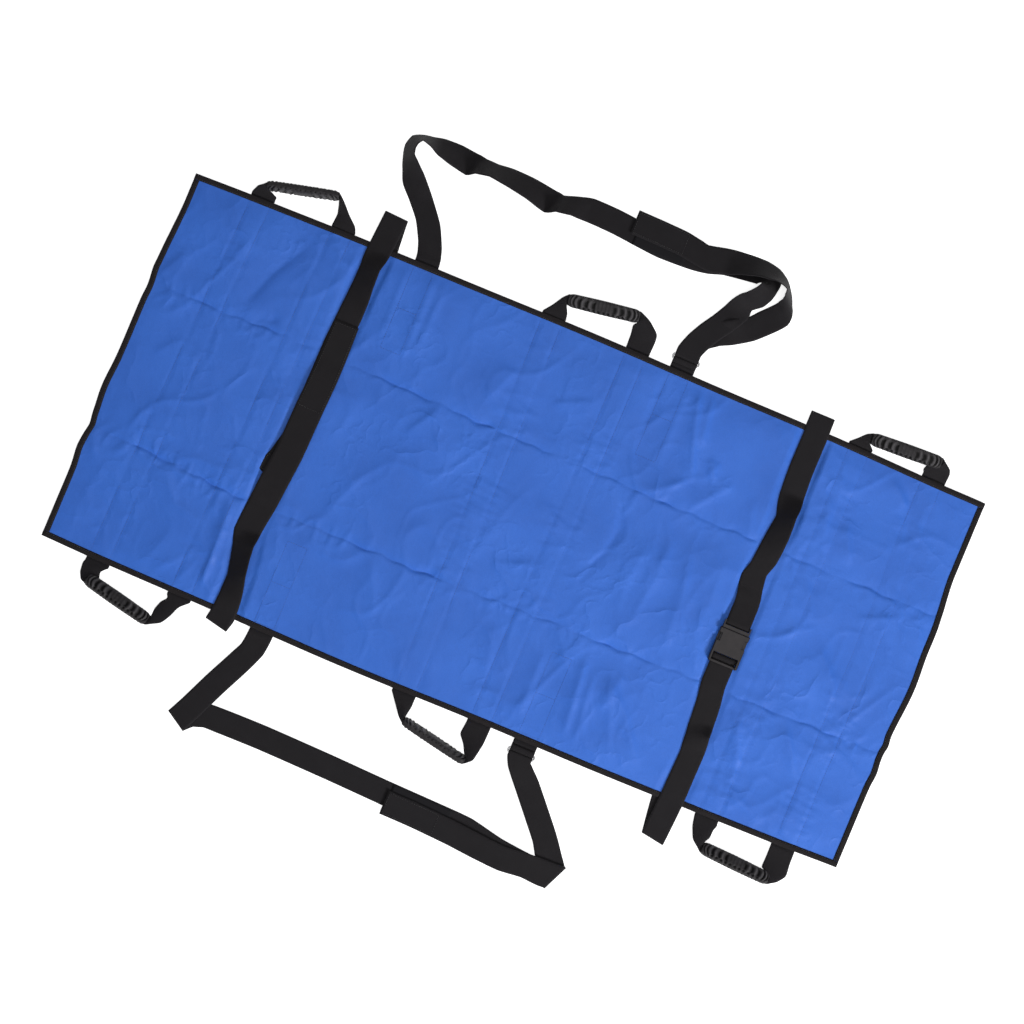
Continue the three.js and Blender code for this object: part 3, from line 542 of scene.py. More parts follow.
# ---- the relief of the sheet, in millimetres above where it would lie dead flat ----
def line_field(x, y, points):
    """Signed distance to a line through points, and the share of the way along it."""
    best = np.full(x.shape, 1e9)
    share = np.zeros(x.shape)
    total = sum(math.dist(a, b) for a, b in zip(points, points[1:]))
    gone = 0.0
    for (ax, ay), (bx, by) in zip(points, points[1:]):
        long = math.hypot(bx - ax, by - ay)
        ux, uy = (bx - ax) / long, (by - ay) / long
        s = np.clip((x - ax) * ux + (y - ay) * uy, 0, long)
        dx, dy = x - ax - s * ux, y - ay - s * uy
        far = np.hypot(dx, dy) * np.where(ux * dy - uy * dx < 0, -1, 1)
        closer = np.abs(far) < np.abs(best)
        best = np.where(closer, far, best)
        share = np.where(closer, (gone + s) / total, share)
        gone += long
    return best, share


def bell(v, middle, reach):
    return np.exp(-((v - middle) / reach) ** 2)


def ridge(far, left, right, round_it=1.6):
    """From 1 on a line down to 0 beside it, over those millimetres on its left and on its right."""
    return np.exp((round_it - np.sqrt(far * far + round_it * round_it)) / np.where(far > 0, left, right))


def ripples(x, y, size, seed, count=9):
    """Smooth noise of about unit height whose waves are about that long."""
    rng = np.random.RandomState(seed)
    total = np.zeros(x.shape)
    for _ in range(count):
        turn, phase = rng.uniform(0, 2 * math.pi, 2)
        long = size * rng.uniform(0.7, 1.5)
        total += np.sin((x * math.cos(turn) + y * math.sin(turn)) * 2 * math.pi / long + phase)
    return total / math.sqrt(count / 2)


LONG_FOLDS = [
    [(-858, 163), (-700, 158), (-560, 163), (-440, 160), (-300, 156), (-100, 152), (100, 150), (300, 147),
     (858, 145)],
    [(-858, -150), (-700, -158), (-560, -170), (-450, -168), (-250, -169), (-50, -166), (150, -160),
     (858, -150)],
]
# height (a crease that dips is negative), reach on the left and on the right, share over which the ends fade,
# and then x, y of each point
FOLDS = [
    (2.6, 5, 12, 0.2, -334, 402, -332, 205), (2.0, 6, 14, 0.2, -310, 402, -309, 212),
    (2.0, 8, 8, 0.2, -392, 402, -391, 215), (-2.4, 14, 6, 0.2, 165, 395, 165, 190),
    (2.0, 6, 10, 0.2, 218, 395, 219, 195), (5.6, 6, 16, 0.2, 238, 392, 262, 300, 296, 200),
    (4.4, 6, 11, 0.25, 268, 392, 286, 270), (3.0, 5, 9, 0.3, 312, 268, 338, 222),
    (2.6, 5, 8, 0.3, 336, 262, 318, 226), (4.4, 6, 18, 0.25, 288, 208, 240, 165, 192, 140),
    (3.6, 6, 16, 0.25, 380, 238, 330, 178, 306, 150), (-4.0, 34, 9, 0.25, -672, 165, -640, 260, -578, 385),
    (-3.2, 12, 6, 0.3, -640, 160, -585, 190), (3.0, 6, 18, 0.3, -272, 72, -218, 158),
    (2.8, 6, 20, 0.3, -305, -15, -362, -145), (2.6, 6, 16, 0.3, -112, 285, -148, 195),
    (2.8, 6, 18, 0.3, -35, 238, 65, 283), (-3.6, 16, 6, 0.25, 180, 132, 197, 60, 190, 12, 148, -72),
    (5.2, 16, 30, 0.35, 312, 112, 302, 0, 284, -132), (5.4, 15, 28, 0.35, 346, 104, 366, -20, 369, -142),
    (3.6, 14, 24, 0.35, 270, 90, 250, -20, 262, -120), (3.6, 14, 22, 0.35, 418, 110, 421, -10, 416, -120),
    (3.2, 6, 14, 0.3, 150, -150, 228, -252), (2.8, 6, 12, 0.3, 228, -158, 176, -236),
    (5.0, 6, 18, 0.25, 236, -178, 246, -280, 256, -372), (4.0, 6, 16, 0.25, 262, -208, 281, -382),
    (3.0, 6, 15, 0.25, 155, -208, 156, -372), (4.4, 7, 24, 0.3, 282, -208, 350, -270, 422, -372),
    (3.0, 7, 18, 0.3, 290, -196, 362, -385), (3.0, 6, 14, 0.3, 320, -190, 300, -300),
    (3.2, 6, 18, 0.3, 608, 262, 652, 168), (3.2, 6, 16, 0.3, 560, 300, 585, 190),
    (3.4, 6, 18, 0.3, 660, 372, 722, 318), (-3.0, 16, 6, 0.3, 700, 372, 742, 250),
    (4.0, 6, 20, 0.3, 648, -158, 722, -272), (3.2, 6, 18, 0.3, 560, -180, 600, -290),
    (4.6, 14, 20, 0.3, 812, 142, 852, 40, 850, -112), (3.8, 8, 20, 0.3, 640, 20, 712, -60, 726, -130),
    (4.2, 7, 20, 0.3, -852, -138, -818, -212), (3.2, 7, 20, 0.3, -690, -160, -640, -230, -560, -250),
    (3.0, 7, 20, 0.3, -846, 168, -805, 250), (7.5, 5, 9, 0.2, -534, -170, -528, -372),
    (2.4, 7, 24, 0.35, -240, -168, -180, -300), (2.4, 7, 20, 0.35, 20, 60, 110, 20),
    (2.4, 7, 20, 0.35, 40, -200, 70, -330), (2.6, 7, 20, 0.35, 560, -20, 640, 40),
    (2.8, 7, 18, 0.35, 420, 230, 452, 120), (2.8, 7, 18, 0.35, 415, -60, 452, -150),
    (2.6, 7, 18, 0.35, -560, -300, -640, -380), (2.0, 7, 20, 0.35, -800, 20, -740, 90),
    (-1.8, 10, 7, 0.3, -180, 20, -90, 60, 10, 40), (2.2, 6, 14, 0.3, -20, -100, 90, -60),
    (3.0, 6, 14, 0.3, 700, 80, 790, 120), (2.8, 7, 16, 0.3, 600, -330, 690, -370),
]
# where the restraint straps hold the sheet down
STRAP_LINES = [
    [(-450, 470), (-460, 400), (-467, 200), (-472, 50), (-478, -92), (-480, -230), (-468, -310), (-463, -470)],
    [(487, 470), (487, 300), (493, 200), (489, 70), (491, -100), (499, -235), (505, -300), (498, -470)],
]
# where each web under the sheet crosses the right and the left hinge line
WEB_LINES = [(-738, -714), (-561, -541), (-72, -86), (90, 95), (582, 580), (746, 740)]
SEAM = 21  # the stitch lines' distance from the middle of a web


def web_x(ends, y):
    return ends[0] + (ends[1] - ends[0]) * (y + HINGE_Y) / (2 * HINGE_Y)


def raw_relief(x, y):
    high = 3.8 + 1.2 * ripples(x, y, 420, 3) + 0.7 * ripples(x, y, 150, 5)
    for size, seed, tall in ((230, 8, 2.2), (120, 9, 1.3)):
        crisp = 1 - np.abs(ripples(x, y, size, seed, 7))
        patch = np.clip(0.5 + 0.6 * ripples(x, y, 300, seed + 30), 0, 1)
        high += tall * patch * np.clip(crisp, 0, 1) ** 4
    for height, left, right, fade, *spots in FOLDS:
        far, share = line_field(x, y, list(zip(spots[::2], spots[1::2])))
        high += height * ridge(far, left, right) * step(0, fade, share) * step(0, fade, 1 - share)
    for points, amount in zip(LONG_FOLDS, (1.2, 1.7)):
        far, _ = line_field(x, y + 1.6 * ripples(x, 0 * y, 60, 31, 6), points)
        near = bell(far, -6, 24)
        patch = np.clip(0.35 + 0.5 * ripples(x, y * 0.3, 200, 12) + step(-520, -600, x), 0, 1.3)
        pucker = 1 - 1.6 * np.abs(ripples(x, y * 0.55, 46, 11, 6))
        high += amount * near * patch * np.clip(pucker, -0.4, 1)
        deep = np.clip(0.68 + 0.3 * ripples(x, y * 0.1, 90, 21, 6), 0.2, 1)
        high = high * (1 - deep * (0.5 * ridge(far, 6, 2.4, 0.8) + 0.45 * ridge(far, 10, 26)))
        high += 1.2 * deep * ridge(far + 6, 3.5, 9)
    for ends in WEB_LINES:
        far = np.abs(x - web_x(ends, y))
        near = bell(far, SEAM, 22) * np.clip(0.7 + 0.5 * ripples(x * 0.2, y, 220, 15), 0, 1.2)
        pucker = 1 - 1.5 * np.abs(ripples(x * 0.32, y, 34, 14, 6))
        high += 0.5 * (1 - step(20, 27, far)) + 1.0 * near * np.clip(pucker, -0.5, 1)
        high -= 1.3 * bell(far, SEAM, 2.6)
    for line in STRAP_LINES:
        far, _ = line_field(x, y, line)
        high = np.minimum(high, 0.75 + 14 * step(29, 46, np.abs(far)))
    inside = np.minimum(HALF_LENGTH - np.abs(x), edge_y(x) - np.abs(y))
    held = 0.45 + 0.55 * step(0, 50, inside)
    return np.clip(high * held, 0, 13)


PITCH = 3.0
GRID_X = np.arange(-HALF_LENGTH - 12, HALF_LENGTH + 12 + PITCH, PITCH)
GRID_Y = np.arange(-HALF_WIDTH - 24, HALF_WIDTH + 24 + PITCH, PITCH)
GRID = raw_relief(*np.meshgrid(GRID_X, GRID_Y))


def relief(x, y):
    i, j = (np.clip((v - grid[0]) / PITCH, 0, len(grid) - 1.001) for v, grid in ((x, GRID_X), (y, GRID_Y)))
    a, b = i.astype(int), j.astype(int)
    s, t = i - a, j - b
    low = GRID[b, a] * (1 - s) + GRID[b, a + 1] * s
    return low * (1 - t) + (GRID[b + 1, a] * (1 - s) + GRID[b + 1, a + 1] * s) * t


# size, middle and reach of each bulge of the head end and of the foot end
BULGES = [[(4, -200, 28), (-2.5, -150, 14), (4.5, -70, 45), (-2, 150, 18), (1.2, 190, 14)],
          [(3, -190, 20), (3, -130, 12), (7.5, -5, 75), (3.5, 115, 45)]]


def warp(x, y):
    """Small sideways drift: the short ends bulge and kink where the long folds reach them."""
    head, foot = (sum(size * bell(y, middle, reach) for size, middle, reach in bulges) for bulges in BULGES)
    head = head + 4 - 6.5 * step(200, 340, y)
    foot = foot + 1 - 5.5 * step(150, 235, y)
    end = np.clip(np.abs(x) / HALF_LENGTH, 0, 1) ** 6
    along = end * np.where(x < 0, -head, foot)
    side = np.clip(np.abs(y) / HALF_WIDTH, 0, 1) ** 6
    return x + along, y + side * 0.9 * ripples(x, y, 330, 22, 5) * step(0, 120, HALF_LENGTH - np.abs(x))


def on_sheet(x, y, lift):
    """Where a point of the flat sheet really lies, at that height above the fabric's underside."""
    x, y = np.asarray(x, float), np.asarray(y, float)
    return np.stack([*warp(x, y), PANEL_LOW + lift + relief(x, y)], -1)


SHEET_PITCH = 4.6


def sheet_rows(x, inset):
    """Rows of the sheet's mesh: close together beside the long folds, so that the folds stay sharp."""
    upper, lower = (np.interp(x, *np.array(points, float).T) for points in LONG_FOLDS)
    edge = edge_y(x) - inset
    near = np.array([0, 1.3, 3.0, 5.5])
    rows = []
    for start, end, head, tail in ((-edge, lower, near[:1], near), (lower, upper, near, near),
                                   (upper, edge, near, near[:1])):
        shares = np.linspace(0, 1, int(np.max(end - start) / SHEET_PITCH))[:, None]
        first, last = start + head[-1], end - tail[-1]
        rows += [start + d for d in head[:-1]] + list(first + (last - first) * shares)
        rows += [end - d for d in tail[:0:-1]]
    rows.append(edge)
    rows = np.sort(np.array(rows), axis=0)
    keep = np.concatenate([[True], np.min(np.diff(rows, axis=0), axis=1) > 0.4])
    return rows[keep]


def sheet_cloth():
    inset = BINDING_THICK + GAP
    xs = np.linspace(-HALF_LENGTH + inset, HALF_LENGTH - inset, int(2 * HALF_LENGTH / SHEET_PITCH))
    y = sheet_rows(xs, inset)
    rows, columns = y.shape
    count = rows * columns
    x = np.tile(xs, (rows, 1))
    low = np.stack([*warp(x, y), PANEL_LOW + raw_relief(x, y)], -1).reshape(-1, 3)
    top = low + np.array([0, 0, PANEL_THICK])
    marks = list(zip(x.ravel().tolist(), y.ravel().tolist())) * 2
    faces, corners = grid_faces(rows, columns, False, marks)
    faces += [[k + count for k in f[::-1]] for f in faces]
    loop = [*range(columns), *range(2 * columns - 1, count, columns),
            *range(count - 2, count - columns - 1, -1), *range(count - 2 * columns, 0, -columns)]
    faces += [[a, a + count, b + count, b] for a, b in zip(loop, loop[1:] + loop[:1])]
    build = Build()
    corners += [[marks[k] for k in f] for f in faces[len(corners):]]
    build.add(np.concatenate([top, low]), faces, corners)
    return build.make("sheet_cloth", "sheet")


HEM_STITCH_IN, SECTION_PITCH = 9.6, 2.4


def binding_section():
    """The folded tape: distance in from the edge and height over the fabric's underside."""
    under, over, t = -GAP, PANEL_THICK + GAP, BINDING_THICK
    return [(BINDING, under - t), (6, under - t), (1.2, under - t), (0.35, under - t + 0.3), (0, 0.4),
            (0.35, over + t - 0.3), (1.2, over + t), (6, over + t), (BINDING, over + t),
            (BINDING, over), (3, over), (t, over), (t, under), (3, under), (BINDING, under)]


def binding(name, spots):
    """Tape folded over an edge; spots are (x, y, inward x, inward y)."""
    section = binding_section()
    spots = np.array(spots, float)
    gone = np.concatenate([[0], np.cumsum(np.hypot(*(spots[1:, :2] - spots[:-1, :2]).T))])

    def inward(at, d, lift):
        return on_sheet(at[:, 0] + at[:, 2] * d, at[:, 1] + at[:, 3] * d, lift)

    rings = np.stack([inward(spots, d, z) for d, z in section], 1)
    coords = [(k * SECTION_PITCH, along) for along in gone for k in range(len(section))]
    build = Build()
    build.tube(rings.reshape(-1, 3), len(spots), len(section), coords)
    for lift, face in ((PANEL_THICK + GAP + BINDING_THICK, 1), (-GAP - BINDING_THICK, -1)):
        def line(s, lift=lift, face=face):
            at = np.stack([np.interp(s * gone[-1], gone, spots[:, n]) for n in range(4)], -1)
            return inward(at, HEM_STITCH_IN, lift), np.tile([0.0, 0.0, face], (len(s), 1))
        stitches(build, line, float(gone[-1]), 1)
    made = build.make(f"hem_{name}", "binding", "black_thread")
    hand_over(made, "sheet", "binding", f"binding_{name}")
    return made


def sheet_and_binding():
    cloth = sheet_cloth()
    hand_over(cloth, "sheet", "sheet_fabric", "sheet_panel")
    xs = np.linspace(-HALF_LENGTH, HALF_LENGTH, 260)
    ends = HALF_WIDTH - BINDING - GAP
    ys = np.linspace(-ends, ends, 120)
    hems = [binding(name, [(x, side * edge_y(x), 0, -side) for x in xs])
            for name, side in (("left", 1), ("right", -1))]
    hems += [binding(name, [(side * HALF_LENGTH, y, -side, 0) for y in ys])
             for name, side in (("head", -1), ("foot", 1))]


def sheet_thread():
    """Stitches that hold the webbing under the sheet, seen from above."""
    build = Build()

    def run(x0, y0, x1, y1):
        def line(s):
            spots = on_sheet(x0 + (x1 - x0) * s, y0 + (y1 - y0) * s, PANEL_THICK)
            return spots, np.tile([0.0, 0.0, 1.0], (len(s), 1))

        stitches(build, line, math.hypot(x1 - x0, y1 - y0), 0)

    for ends in WEB_LINES:
        for off in (-SEAM, SEAM):
            run(web_x(ends, -386) + off, -386, web_x(ends, 386) + off, 386)
    for x, side in ((FOOT_X["left"], 1), (FOOT_X["right"], -1), (LOOP_X, 1), (LOOP_X, -1)):
        low, high = side * 214, side * 388
        for off in (-SEAM, SEAM):
            run(x + off, low, x + off, high)
        for along in (low, (low + high) / 2, high):
            run(x - SEAM, along, x + SEAM, along)
    hand_over(build.make("sheet_stitching", "blue_thread"), "sheet", "sheet_fabric")


# ---- webbing under the sheet, handles ----
# name, side, feet, middle of the grip, its slope and roll
HANDLES = [
    ("head_left", 1, (-714, -541), (-643, 442), 14, 74), ("middle_left", 1, (-86, 95), (0, 458), 9, 8),
    ("foot_left", 1, (580, 740), (667, 428.5), 3, 6), ("head_right", -1, (-738, -561), (-671, -452), -12, 30),
    ("middle_right", -1, (-72, 90), (20, -468), -11, 72), ("foot_right", -1, (582, 746), (668, -462), -3, 30),
]
# corners of each leg's outer and inner edge, from the foot to the grip; the head end's leg comes first
LEGS = {
    "head_left": (([(-731, 418)], [(-688, 410)]),
                  ([(-520, 416), (-540, 433), (-558, 452)], [(-564, 427), (-568, 443)])),
    "middle_left": (([(-97, 427), (-85, 447)], [(-63, 420)]),
                    ([(121, 436), (119, 451), (94, 471)], [(69, 432), (66, 451)])),
    "foot_left": (([(569, 417), (581, 430)], [(601, 408)]),
                  ([(766, 418), (762, 428), (750, 436)], [(712, 409), (716, 420)])),
    "head_right": (([(-765, -411), (-762, -429), (-754, -443)], [(-717, -407), (-725, -416), (-721, -430)]),
                   ([(-554, -421), (-560, -440), (-572, -462)], [(-581, -412), (-591, -423), (-597, -441)])),
    "middle_right": (([(-78, -433), (-64, -450)], [(-47, -425)]),
                     ([(114, -438), (107, -475)], [(62, -436), (76, -452), (84, -468)])),
    "foot_right": (([(561, -426), (571, -450)], [(608, -409), (604, -418), (603, -436)]),
                   ([(771, -423), (773, -448), (759, -465)], [(721, -426), (720, -450)])),
}
UNDER = 14.0  # how far in from a hinge line a handle's own piece of webbing starts


def over_hinge(side, y, start, end):
    """The two points between which webbing bends, those millimetres out from a hinge line."""
    return (0, side * (y + start) * MM, 0), (0, side * (y + end) * MM, 0)


def hinge_y(feet):
    return max(edge_y(x) for x in feet) + HINGE_OUT


def carry_webs():
    for row, (left, right) in (("head", (0, 3)), ("middle", (1, 4)), ("foot", (2, 5))):
        for n in (0, 1):
            x_left, x_right = HANDLES[left][2][n], HANDLES[right][2][n]
            low, high = hinge_y(HANDLES[right][2]) - UNDER - 0.2, hinge_y(HANDLES[left][2]) - UNDER - 0.2
            strip = Strip(strip_frames([(x_right, -low, 0, 0), (x_left, high, 0, 0)], stride=20))
            for u in (-SEAM, SEAM):
                strip.sew((u, 10), (u, strip.length - 10), faces=(-1,) if strip.frames[0][2][2] > 0 else (1,))
            web_piece(strip, f"under_web_{row}_{n + 1}", f"carry_web_{row}_{n + 1}", body="sheet")


def grip_rise(roll):
    return GRIP_WIDE / 2 * math.sin(rad(roll)) + GRIP_THICK / 2 * math.cos(rad(roll))


def edge_line(points, t):
    """Points at those shares of the way along a line through corners, which are rounded a little."""
    points = np.array(points, float)
    at = np.concatenate([[0], np.cumsum(np.linalg.norm(np.diff(points, axis=0), axis=1))])
    line = np.stack([np.interp(t * at[-1], at, points[:, k]) for k in range(3)], -1)
    for _ in range(2):
        line[1:-1] = (line[:-2] + 2 * line[1:-1] + line[2:]) / 4
    return line


def leg_edges(side, s, foot, grip, slope, roll, corners):
    """The outer and inner edge of a leg of webbing, from the hinge line to the end of the grip."""
    along = np.array([math.cos(rad(slope)), math.sin(rad(slope)), 0])
    away = np.array([-math.sin(rad(slope)), math.cos(rad(slope)), 0]) * side
    half = FOLDED_WEB / 2 * (away * math.cos(rad(roll)) + np.array([0, 0, math.sin(rad(roll))]))
    end = np.array([*grip, grip_rise(roll) + 0.05]) + s * along * (GRIP_LENGTH / 2 + 1)
    t = np.linspace(0, 1, 24)
    edges = []
    for k, middle in ((1, corners[0]), (-1, corners[1])):
        start, last = np.array([foot[0] + k * s * WEB / 2, foot[1], HINGE_Z]), end + k * half
        count = len(middle) + 1
        rise = [HINGE_Z + (last[2] - HINGE_Z) * ease((n + 1) / count) for n in range(count - 1)]
        edges.append(edge_line([start, *((x, y, z) for (x, y), z in zip(middle, rise)), last], t))
    return edges[0], edges[1], t


def handle_frames(side, feet, grip, slope, roll, legs):
    """Frames from under one foot, out and round through the grip, to under the other foot."""
    foot_y = side * hinge_y(feet)
    low = WEB_THICK / 2
    rows = []
    for s, fx, corners in ((-1, feet[0], legs[0]), (1, feet[1], legs[1])):
        outer, inner, t = leg_edges(side, s, (fx, foot_y), grip, slope, roll, corners)
        thick = np.interp(t, [0, 0.8, 0.93, 1], [WEB_THICK, WEB_THICK, 2.6, FOLDED_THICK])
        curl = np.interp(t, [0, 0.3, 0.6, 0.85, 0.97, 1], [0, 0.8, 2.2, 3.2, 0.6, 0])
        leg = list(zip(outer, inner, thick, curl))
        start = []
        for d in (UNDER, 11, 8, 6, 4, 2):
            z = low + (HINGE_Z - low) * step(8, 0, d)
            edges = (np.array([fx + k * s * WEB / 2, foot_y - side * d, z]) for k in (1, -1))
            start.append((*edges, WEB_THICK, 0.0))
        rows += (start + leg)[::-s]
    middles = [(outer + inner) / 2 for outer, inner, _, _ in rows]
    frames = []
    for k, (outer, inner, thick, curl) in enumerate(rows):
        wide = np.linalg.norm(inner - outer)
        across = (inner - outer) / wide
        up = np.cross(middles[min(k + 1, len(rows) - 1)] - middles[max(0, k - 1)], across)
        up = up / np.linalg.norm(up)
        frames.append((middles[k], across, up, wide, thick, curl * math.copysign(1, up[2])))
    return frames


def squared(v, power):
    """A circle's coordinate on a rounder or squarer ring of that power."""
    return np.sign(v) * np.abs(v) ** (2 / power)


def grip_mesh(name, side, grip, slope, roll, pits):
    """A moulded sleeve with arched finger ribs at both ends and a row of pits along one side."""
    rings, around = int(GRIP_LENGTH / 1.2), 56
    x = np.linspace(-GRIP_LENGTH / 2, GRIP_LENGTH / 2, rings)
    turn = np.linspace(0, 2 * math.pi, around, endpoint=False)
    xx, tt = np.meshgrid(x, turn, indexing="ij")
    cy, cz = squared(np.cos(tt), 3.2), squared(np.sin(tt), 3.2)
    end = np.clip((np.abs(xx) - GRIP_LENGTH / 2 + 13) / 13, 0, 1)
    swell = 1 - 0.26 * end ** 2.2 + 0.03 * np.cos(xx / GRIP_LENGTH * 2 * math.pi)
    wide, thick = GRIP_WIDE / 2 * swell / 1.03, GRIP_THICK / 2 * swell / 1.03
    reach = np.abs(xx) + 6.5 * cy ** 2
    cut = np.zeros(xx.shape)
    cut, crest = np.zeros(xx.shape), np.zeros(xx.shape)

    def carve(far, size, share=1.0):
        """Deepen where far is within about size, by up to that share."""
        np.maximum(cut, share * np.exp(-(far / size) ** 4), out=cut)

    for centre, half, span in ((20.5, 2.7, 0.46), (35.5, 2.9, 0.5), (50, 2.9, 0.56), (61.5, 1.7, 0.86),
                               (68.5, 1.2, 0.86)):
        carve(reach - centre - 1.2, half, step(span + 0.16, span - 0.1, np.abs(cy)))
    for centre in (28, 43, 56.5, 65.5):
        np.maximum(crest, bell(reach, centre + 1.2, 2.4) * step(0.98, 0.7, np.abs(cy)), out=crest)
    pit_side = -side if pits == "inner" else side
    for k in range(-5, 6):
        carve(np.hypot(xx - 10 * k, (cy * pit_side - 0.74) * GRIP_WIDE / 2 * 1.1), 2.8, tt < math.pi)
        carve(np.hypot(xx - 10 * k, cz * GRIP_THICK / 2), 2.9, cy * pit_side > 0.72)
        carve(xx - 10 * k - 5, 1.5, 0.7 * step(0.8, 0.95, -cy * pit_side) * (np.abs(cz) > 0.5))
    for k in (-1, 0, 1):
        carve(np.hypot(xx - 8 * k, cy * GRIP_WIDE / 2 - 2 * (-1) ** k), 1.6, 0.5)
    ripple = 0.3 * np.sin(xx * 2 * math.pi / 7.5) * (np.abs(cz) > 0.5)
    depth = (2.0 * cut - 0.5 * crest * (1 - cut) + ripple) * (np.abs(xx) < 71)
    outer = np.stack([xx, (wide - depth) * cy, (thick - depth) * cz], -1)
    mouth, inside = GRIP_LENGTH / 2 - 0.6, GRIP_LENGTH / 2 - 12
    bore = [np.stack([np.full(around, x), squared(np.cos(turn), 12) * (FOLDED_WEB / 2 + GAP),
                      squared(np.sin(turn), 12) * (FOLDED_THICK / 2 + GAP)], -1)
            for x in (mouth, inside, 0, -inside, -mouth)]
    points = np.concatenate([outer, bore])
    rows = len(points)
    faces, _ = grid_faces(rows, around, True, [0] * rows * around)
    last = (rows - 1) * around
    faces += [[last + c, last + (c + 1) % around, (c + 1) % around, c] for c in range(around)]
    place = np.array(Matrix.Rotation(rad(slope), 3, "Z") @ Matrix.Rotation(rad(roll) * side, 3, "X"))
    moved = points.reshape(-1, 3) @ place.T + np.array([*grip, grip_rise(roll) + 0.05])
    build = Build()
    build.add(moved, faces)
    made = build.make(name, "grip")
    # painted shade and highlight for the grip's colour: dark in the cuts, lighter on the rib crests, and
    # painted shade of 0.1 inside the bore
    painted_light_and_shade = (1 - cut) * (0.62 + 0.38 * crest - 0.1 * ripple)
    value = np.concatenate([painted_light_and_shade.ravel(), np.full(len(bore) * around, 0.1)]).astype(np.float32)
    made.data.attributes.new("relief", "FLOAT", "POINT").data.foreach_set("value", value)
    return made


def handles():
    for name, side, feet, grip, slope, roll in HANDLES:
        strip = Strip(handle_frames(side, feet, grip, slope, roll, LEGS[name]))
        long = strip.length
        for v in (1.5, 5.0):
            strip.sew((-20, v), (20, v))
            strip.sew((-20, long - v), (20, long - v))
        web_piece(strip, f"handle_{name}", f"handle_web_{name}", body=f"handle_{name}", width=40,
                  turn=over_hinge(side, hinge_y(feet), -3, 6))
        sleeve = grip_mesh(f"sleeve_{name}", side, grip, slope, roll, "outer" if roll == 30 else "inner")
        hand_over(sleeve, f"handle_{name}", "grip_rubber", f"grip_{name}")


# ---- shoulder straps ----
LEFT_STRAP = [
    (-361, HINGE_Y, HINGE_LIFT, 0), (-363, HINGE_Y + 12, 0.4, 3),
    *lying(0, (-370, 442, 6), (-391, 482, 12), (-421, 518, 18), (-446, 545, 30, 16), (-465, 570, 36, 46),
        (-476, 588, 18, 60), (-480, 606, -8, 58), (-476, 622, -36, 58), (-463, 631, -62, 68),
        (-444, 631, -80, 60), (-420, 629, -92, 36), (-386, 626, -96, 14), (-354, 622, -98, 4),
        (-335, 624, -103, 36), (-308, 626, -100, 46), (-273, 626, -98, 34), (-228, 622, -97, 22),
        (-180, 614, -100, 2), (-162, 616, -94, 36), (-132, 624, -94, 26), (-102, 629, -92, 4),
        (-45, 628, -88), (20, 622, -91), (60, 619, -90), (130, 622, -90), (156, 628, -68, 0, 54),
        (190, 637, -78), (240, 644, -88), (268, 645, -104, 6)),
    (286, 636, 0.6, -150, 16), (288, 622, 2.2, -186, 42), (283, 607, 3.8, -196, 36),
    (271, 590, 5.2, -198, 26), (256, 577, 5.6, -206, 36), (247, 553, 5.6, -192, 0, 52),
    *lying(6.4, (232, 525, -196, 0, 51), (214, 497, -198), (200, 471, -192), (LOOP_X, 446, -184)),
    *half_turn(LOOP_X, LOOP_FAR_Y - SNUG, -180, (0, -1), LOOP_Z + WRAP, LOOP_Z - WRAP),
    *lying(0, (LOOP_X, 446, -182), (200, 470, -192), (222, 493, -216), (256, 513, -236, 12), (289, 536, -238),
        (306, 554, -228, 0, 51), (322, 571, -226, 0, 51), (334, 586, -224, 6), (337, 600, -212, 38)),
    (333, 612, 0.5, -194, 60), (326, 631, 2, -168, 74), (306, 645, 5, -136, 60), (287, 650, 7, -114, 46),
    (263, 652, 7, -96, 40), (226, 647, 6, -82, 24), (190, 639, 5.4, -77, 0, 53), (156, 631, 5.2, -64, 0, 55),
    (124, 635, 5.2, -86),
    *lying(OVER_FLOOR_TAPES, (97, 639, -90), (46, 641, -90), (-10, 642, -90)),
]
RIGHT_LEG = [(325, -602, -310, 56), (300, -565, -322, 50), (262, -521, -322, 50), (225, -479, -326, 50)]
LOW, STEP = WEB_THICK / 2, LAYER
RIGHT_STRAP = [
    (-382, -HINGE_Y, HINGE_LIFT, -180), (-383, -HINGE_Y - 12, 0.4, -182), (-386, -442, 0, -186),
    (-400, -475, 0.3, -198), (-428, -535, LAYER, -206), (-455, -597, LAYER, -206),
    *half_turn(-471, -631, -212, (-0.53, -0.848), STEP + LOW, LOW, 51),
    *lying(0, (-453, -613, -224), (-424, -600, -252), (-382, -598, -270), (-300, -597, -270),
        (-150, -600, -269), (-30, -604, -269), (60, -606, -269), (150, -609, -268)),
    (222, -623, 2.6, -268), (285, -629, 2 * STEP, -270), (334, -629, 2 * STEP, -290, 0, 58),
    *half_turn(346, -628, -294, (0.91, -0.414), 2 * STEP + LOW, STEP + LOW, 60),
    *((x, y, STEP, azimuth, 0, wide) for x, y, azimuth, wide in RIGHT_LEG),
    (200, -452, 5.4, -342), (LOOP_X, -438, 6.4, -358),
    *half_turn(LOOP_X, SNUG - LOOP_FAR_Y, -360, (0, 1), LOOP_Z + WRAP, LOOP_Z - WRAP),
    (LOOP_X, -438, 0, -358), (200, -452, 0, -342),
    *((x, y, 0, azimuth, 0, wide) for x, y, azimuth, wide in RIGHT_LEG[::-1]),
    *half_turn(346, -628, -294, (0.91, -0.414), LOW, 3 * STEP + LOW, 60),
    *lying(3 * STEP, (334, -629, -290, 0, 58), (285, -629, -270), (236, -634, -268)),
    (180, -631, 6, -270),
    *lying(OVER_FLOOR_TAPES, (120, -626, -269), (40, -622, -269), (-25, -621, -270)),
]


def sewn_start(x, side, azimuth):
    """Stations of the part sewn under the sheet, up to just short of the hinge line."""
    return [(x, side * (HINGE_Y - SEWN_END), 0, azimuth), (x, side * (HINGE_Y - 9), 0, azimuth)]


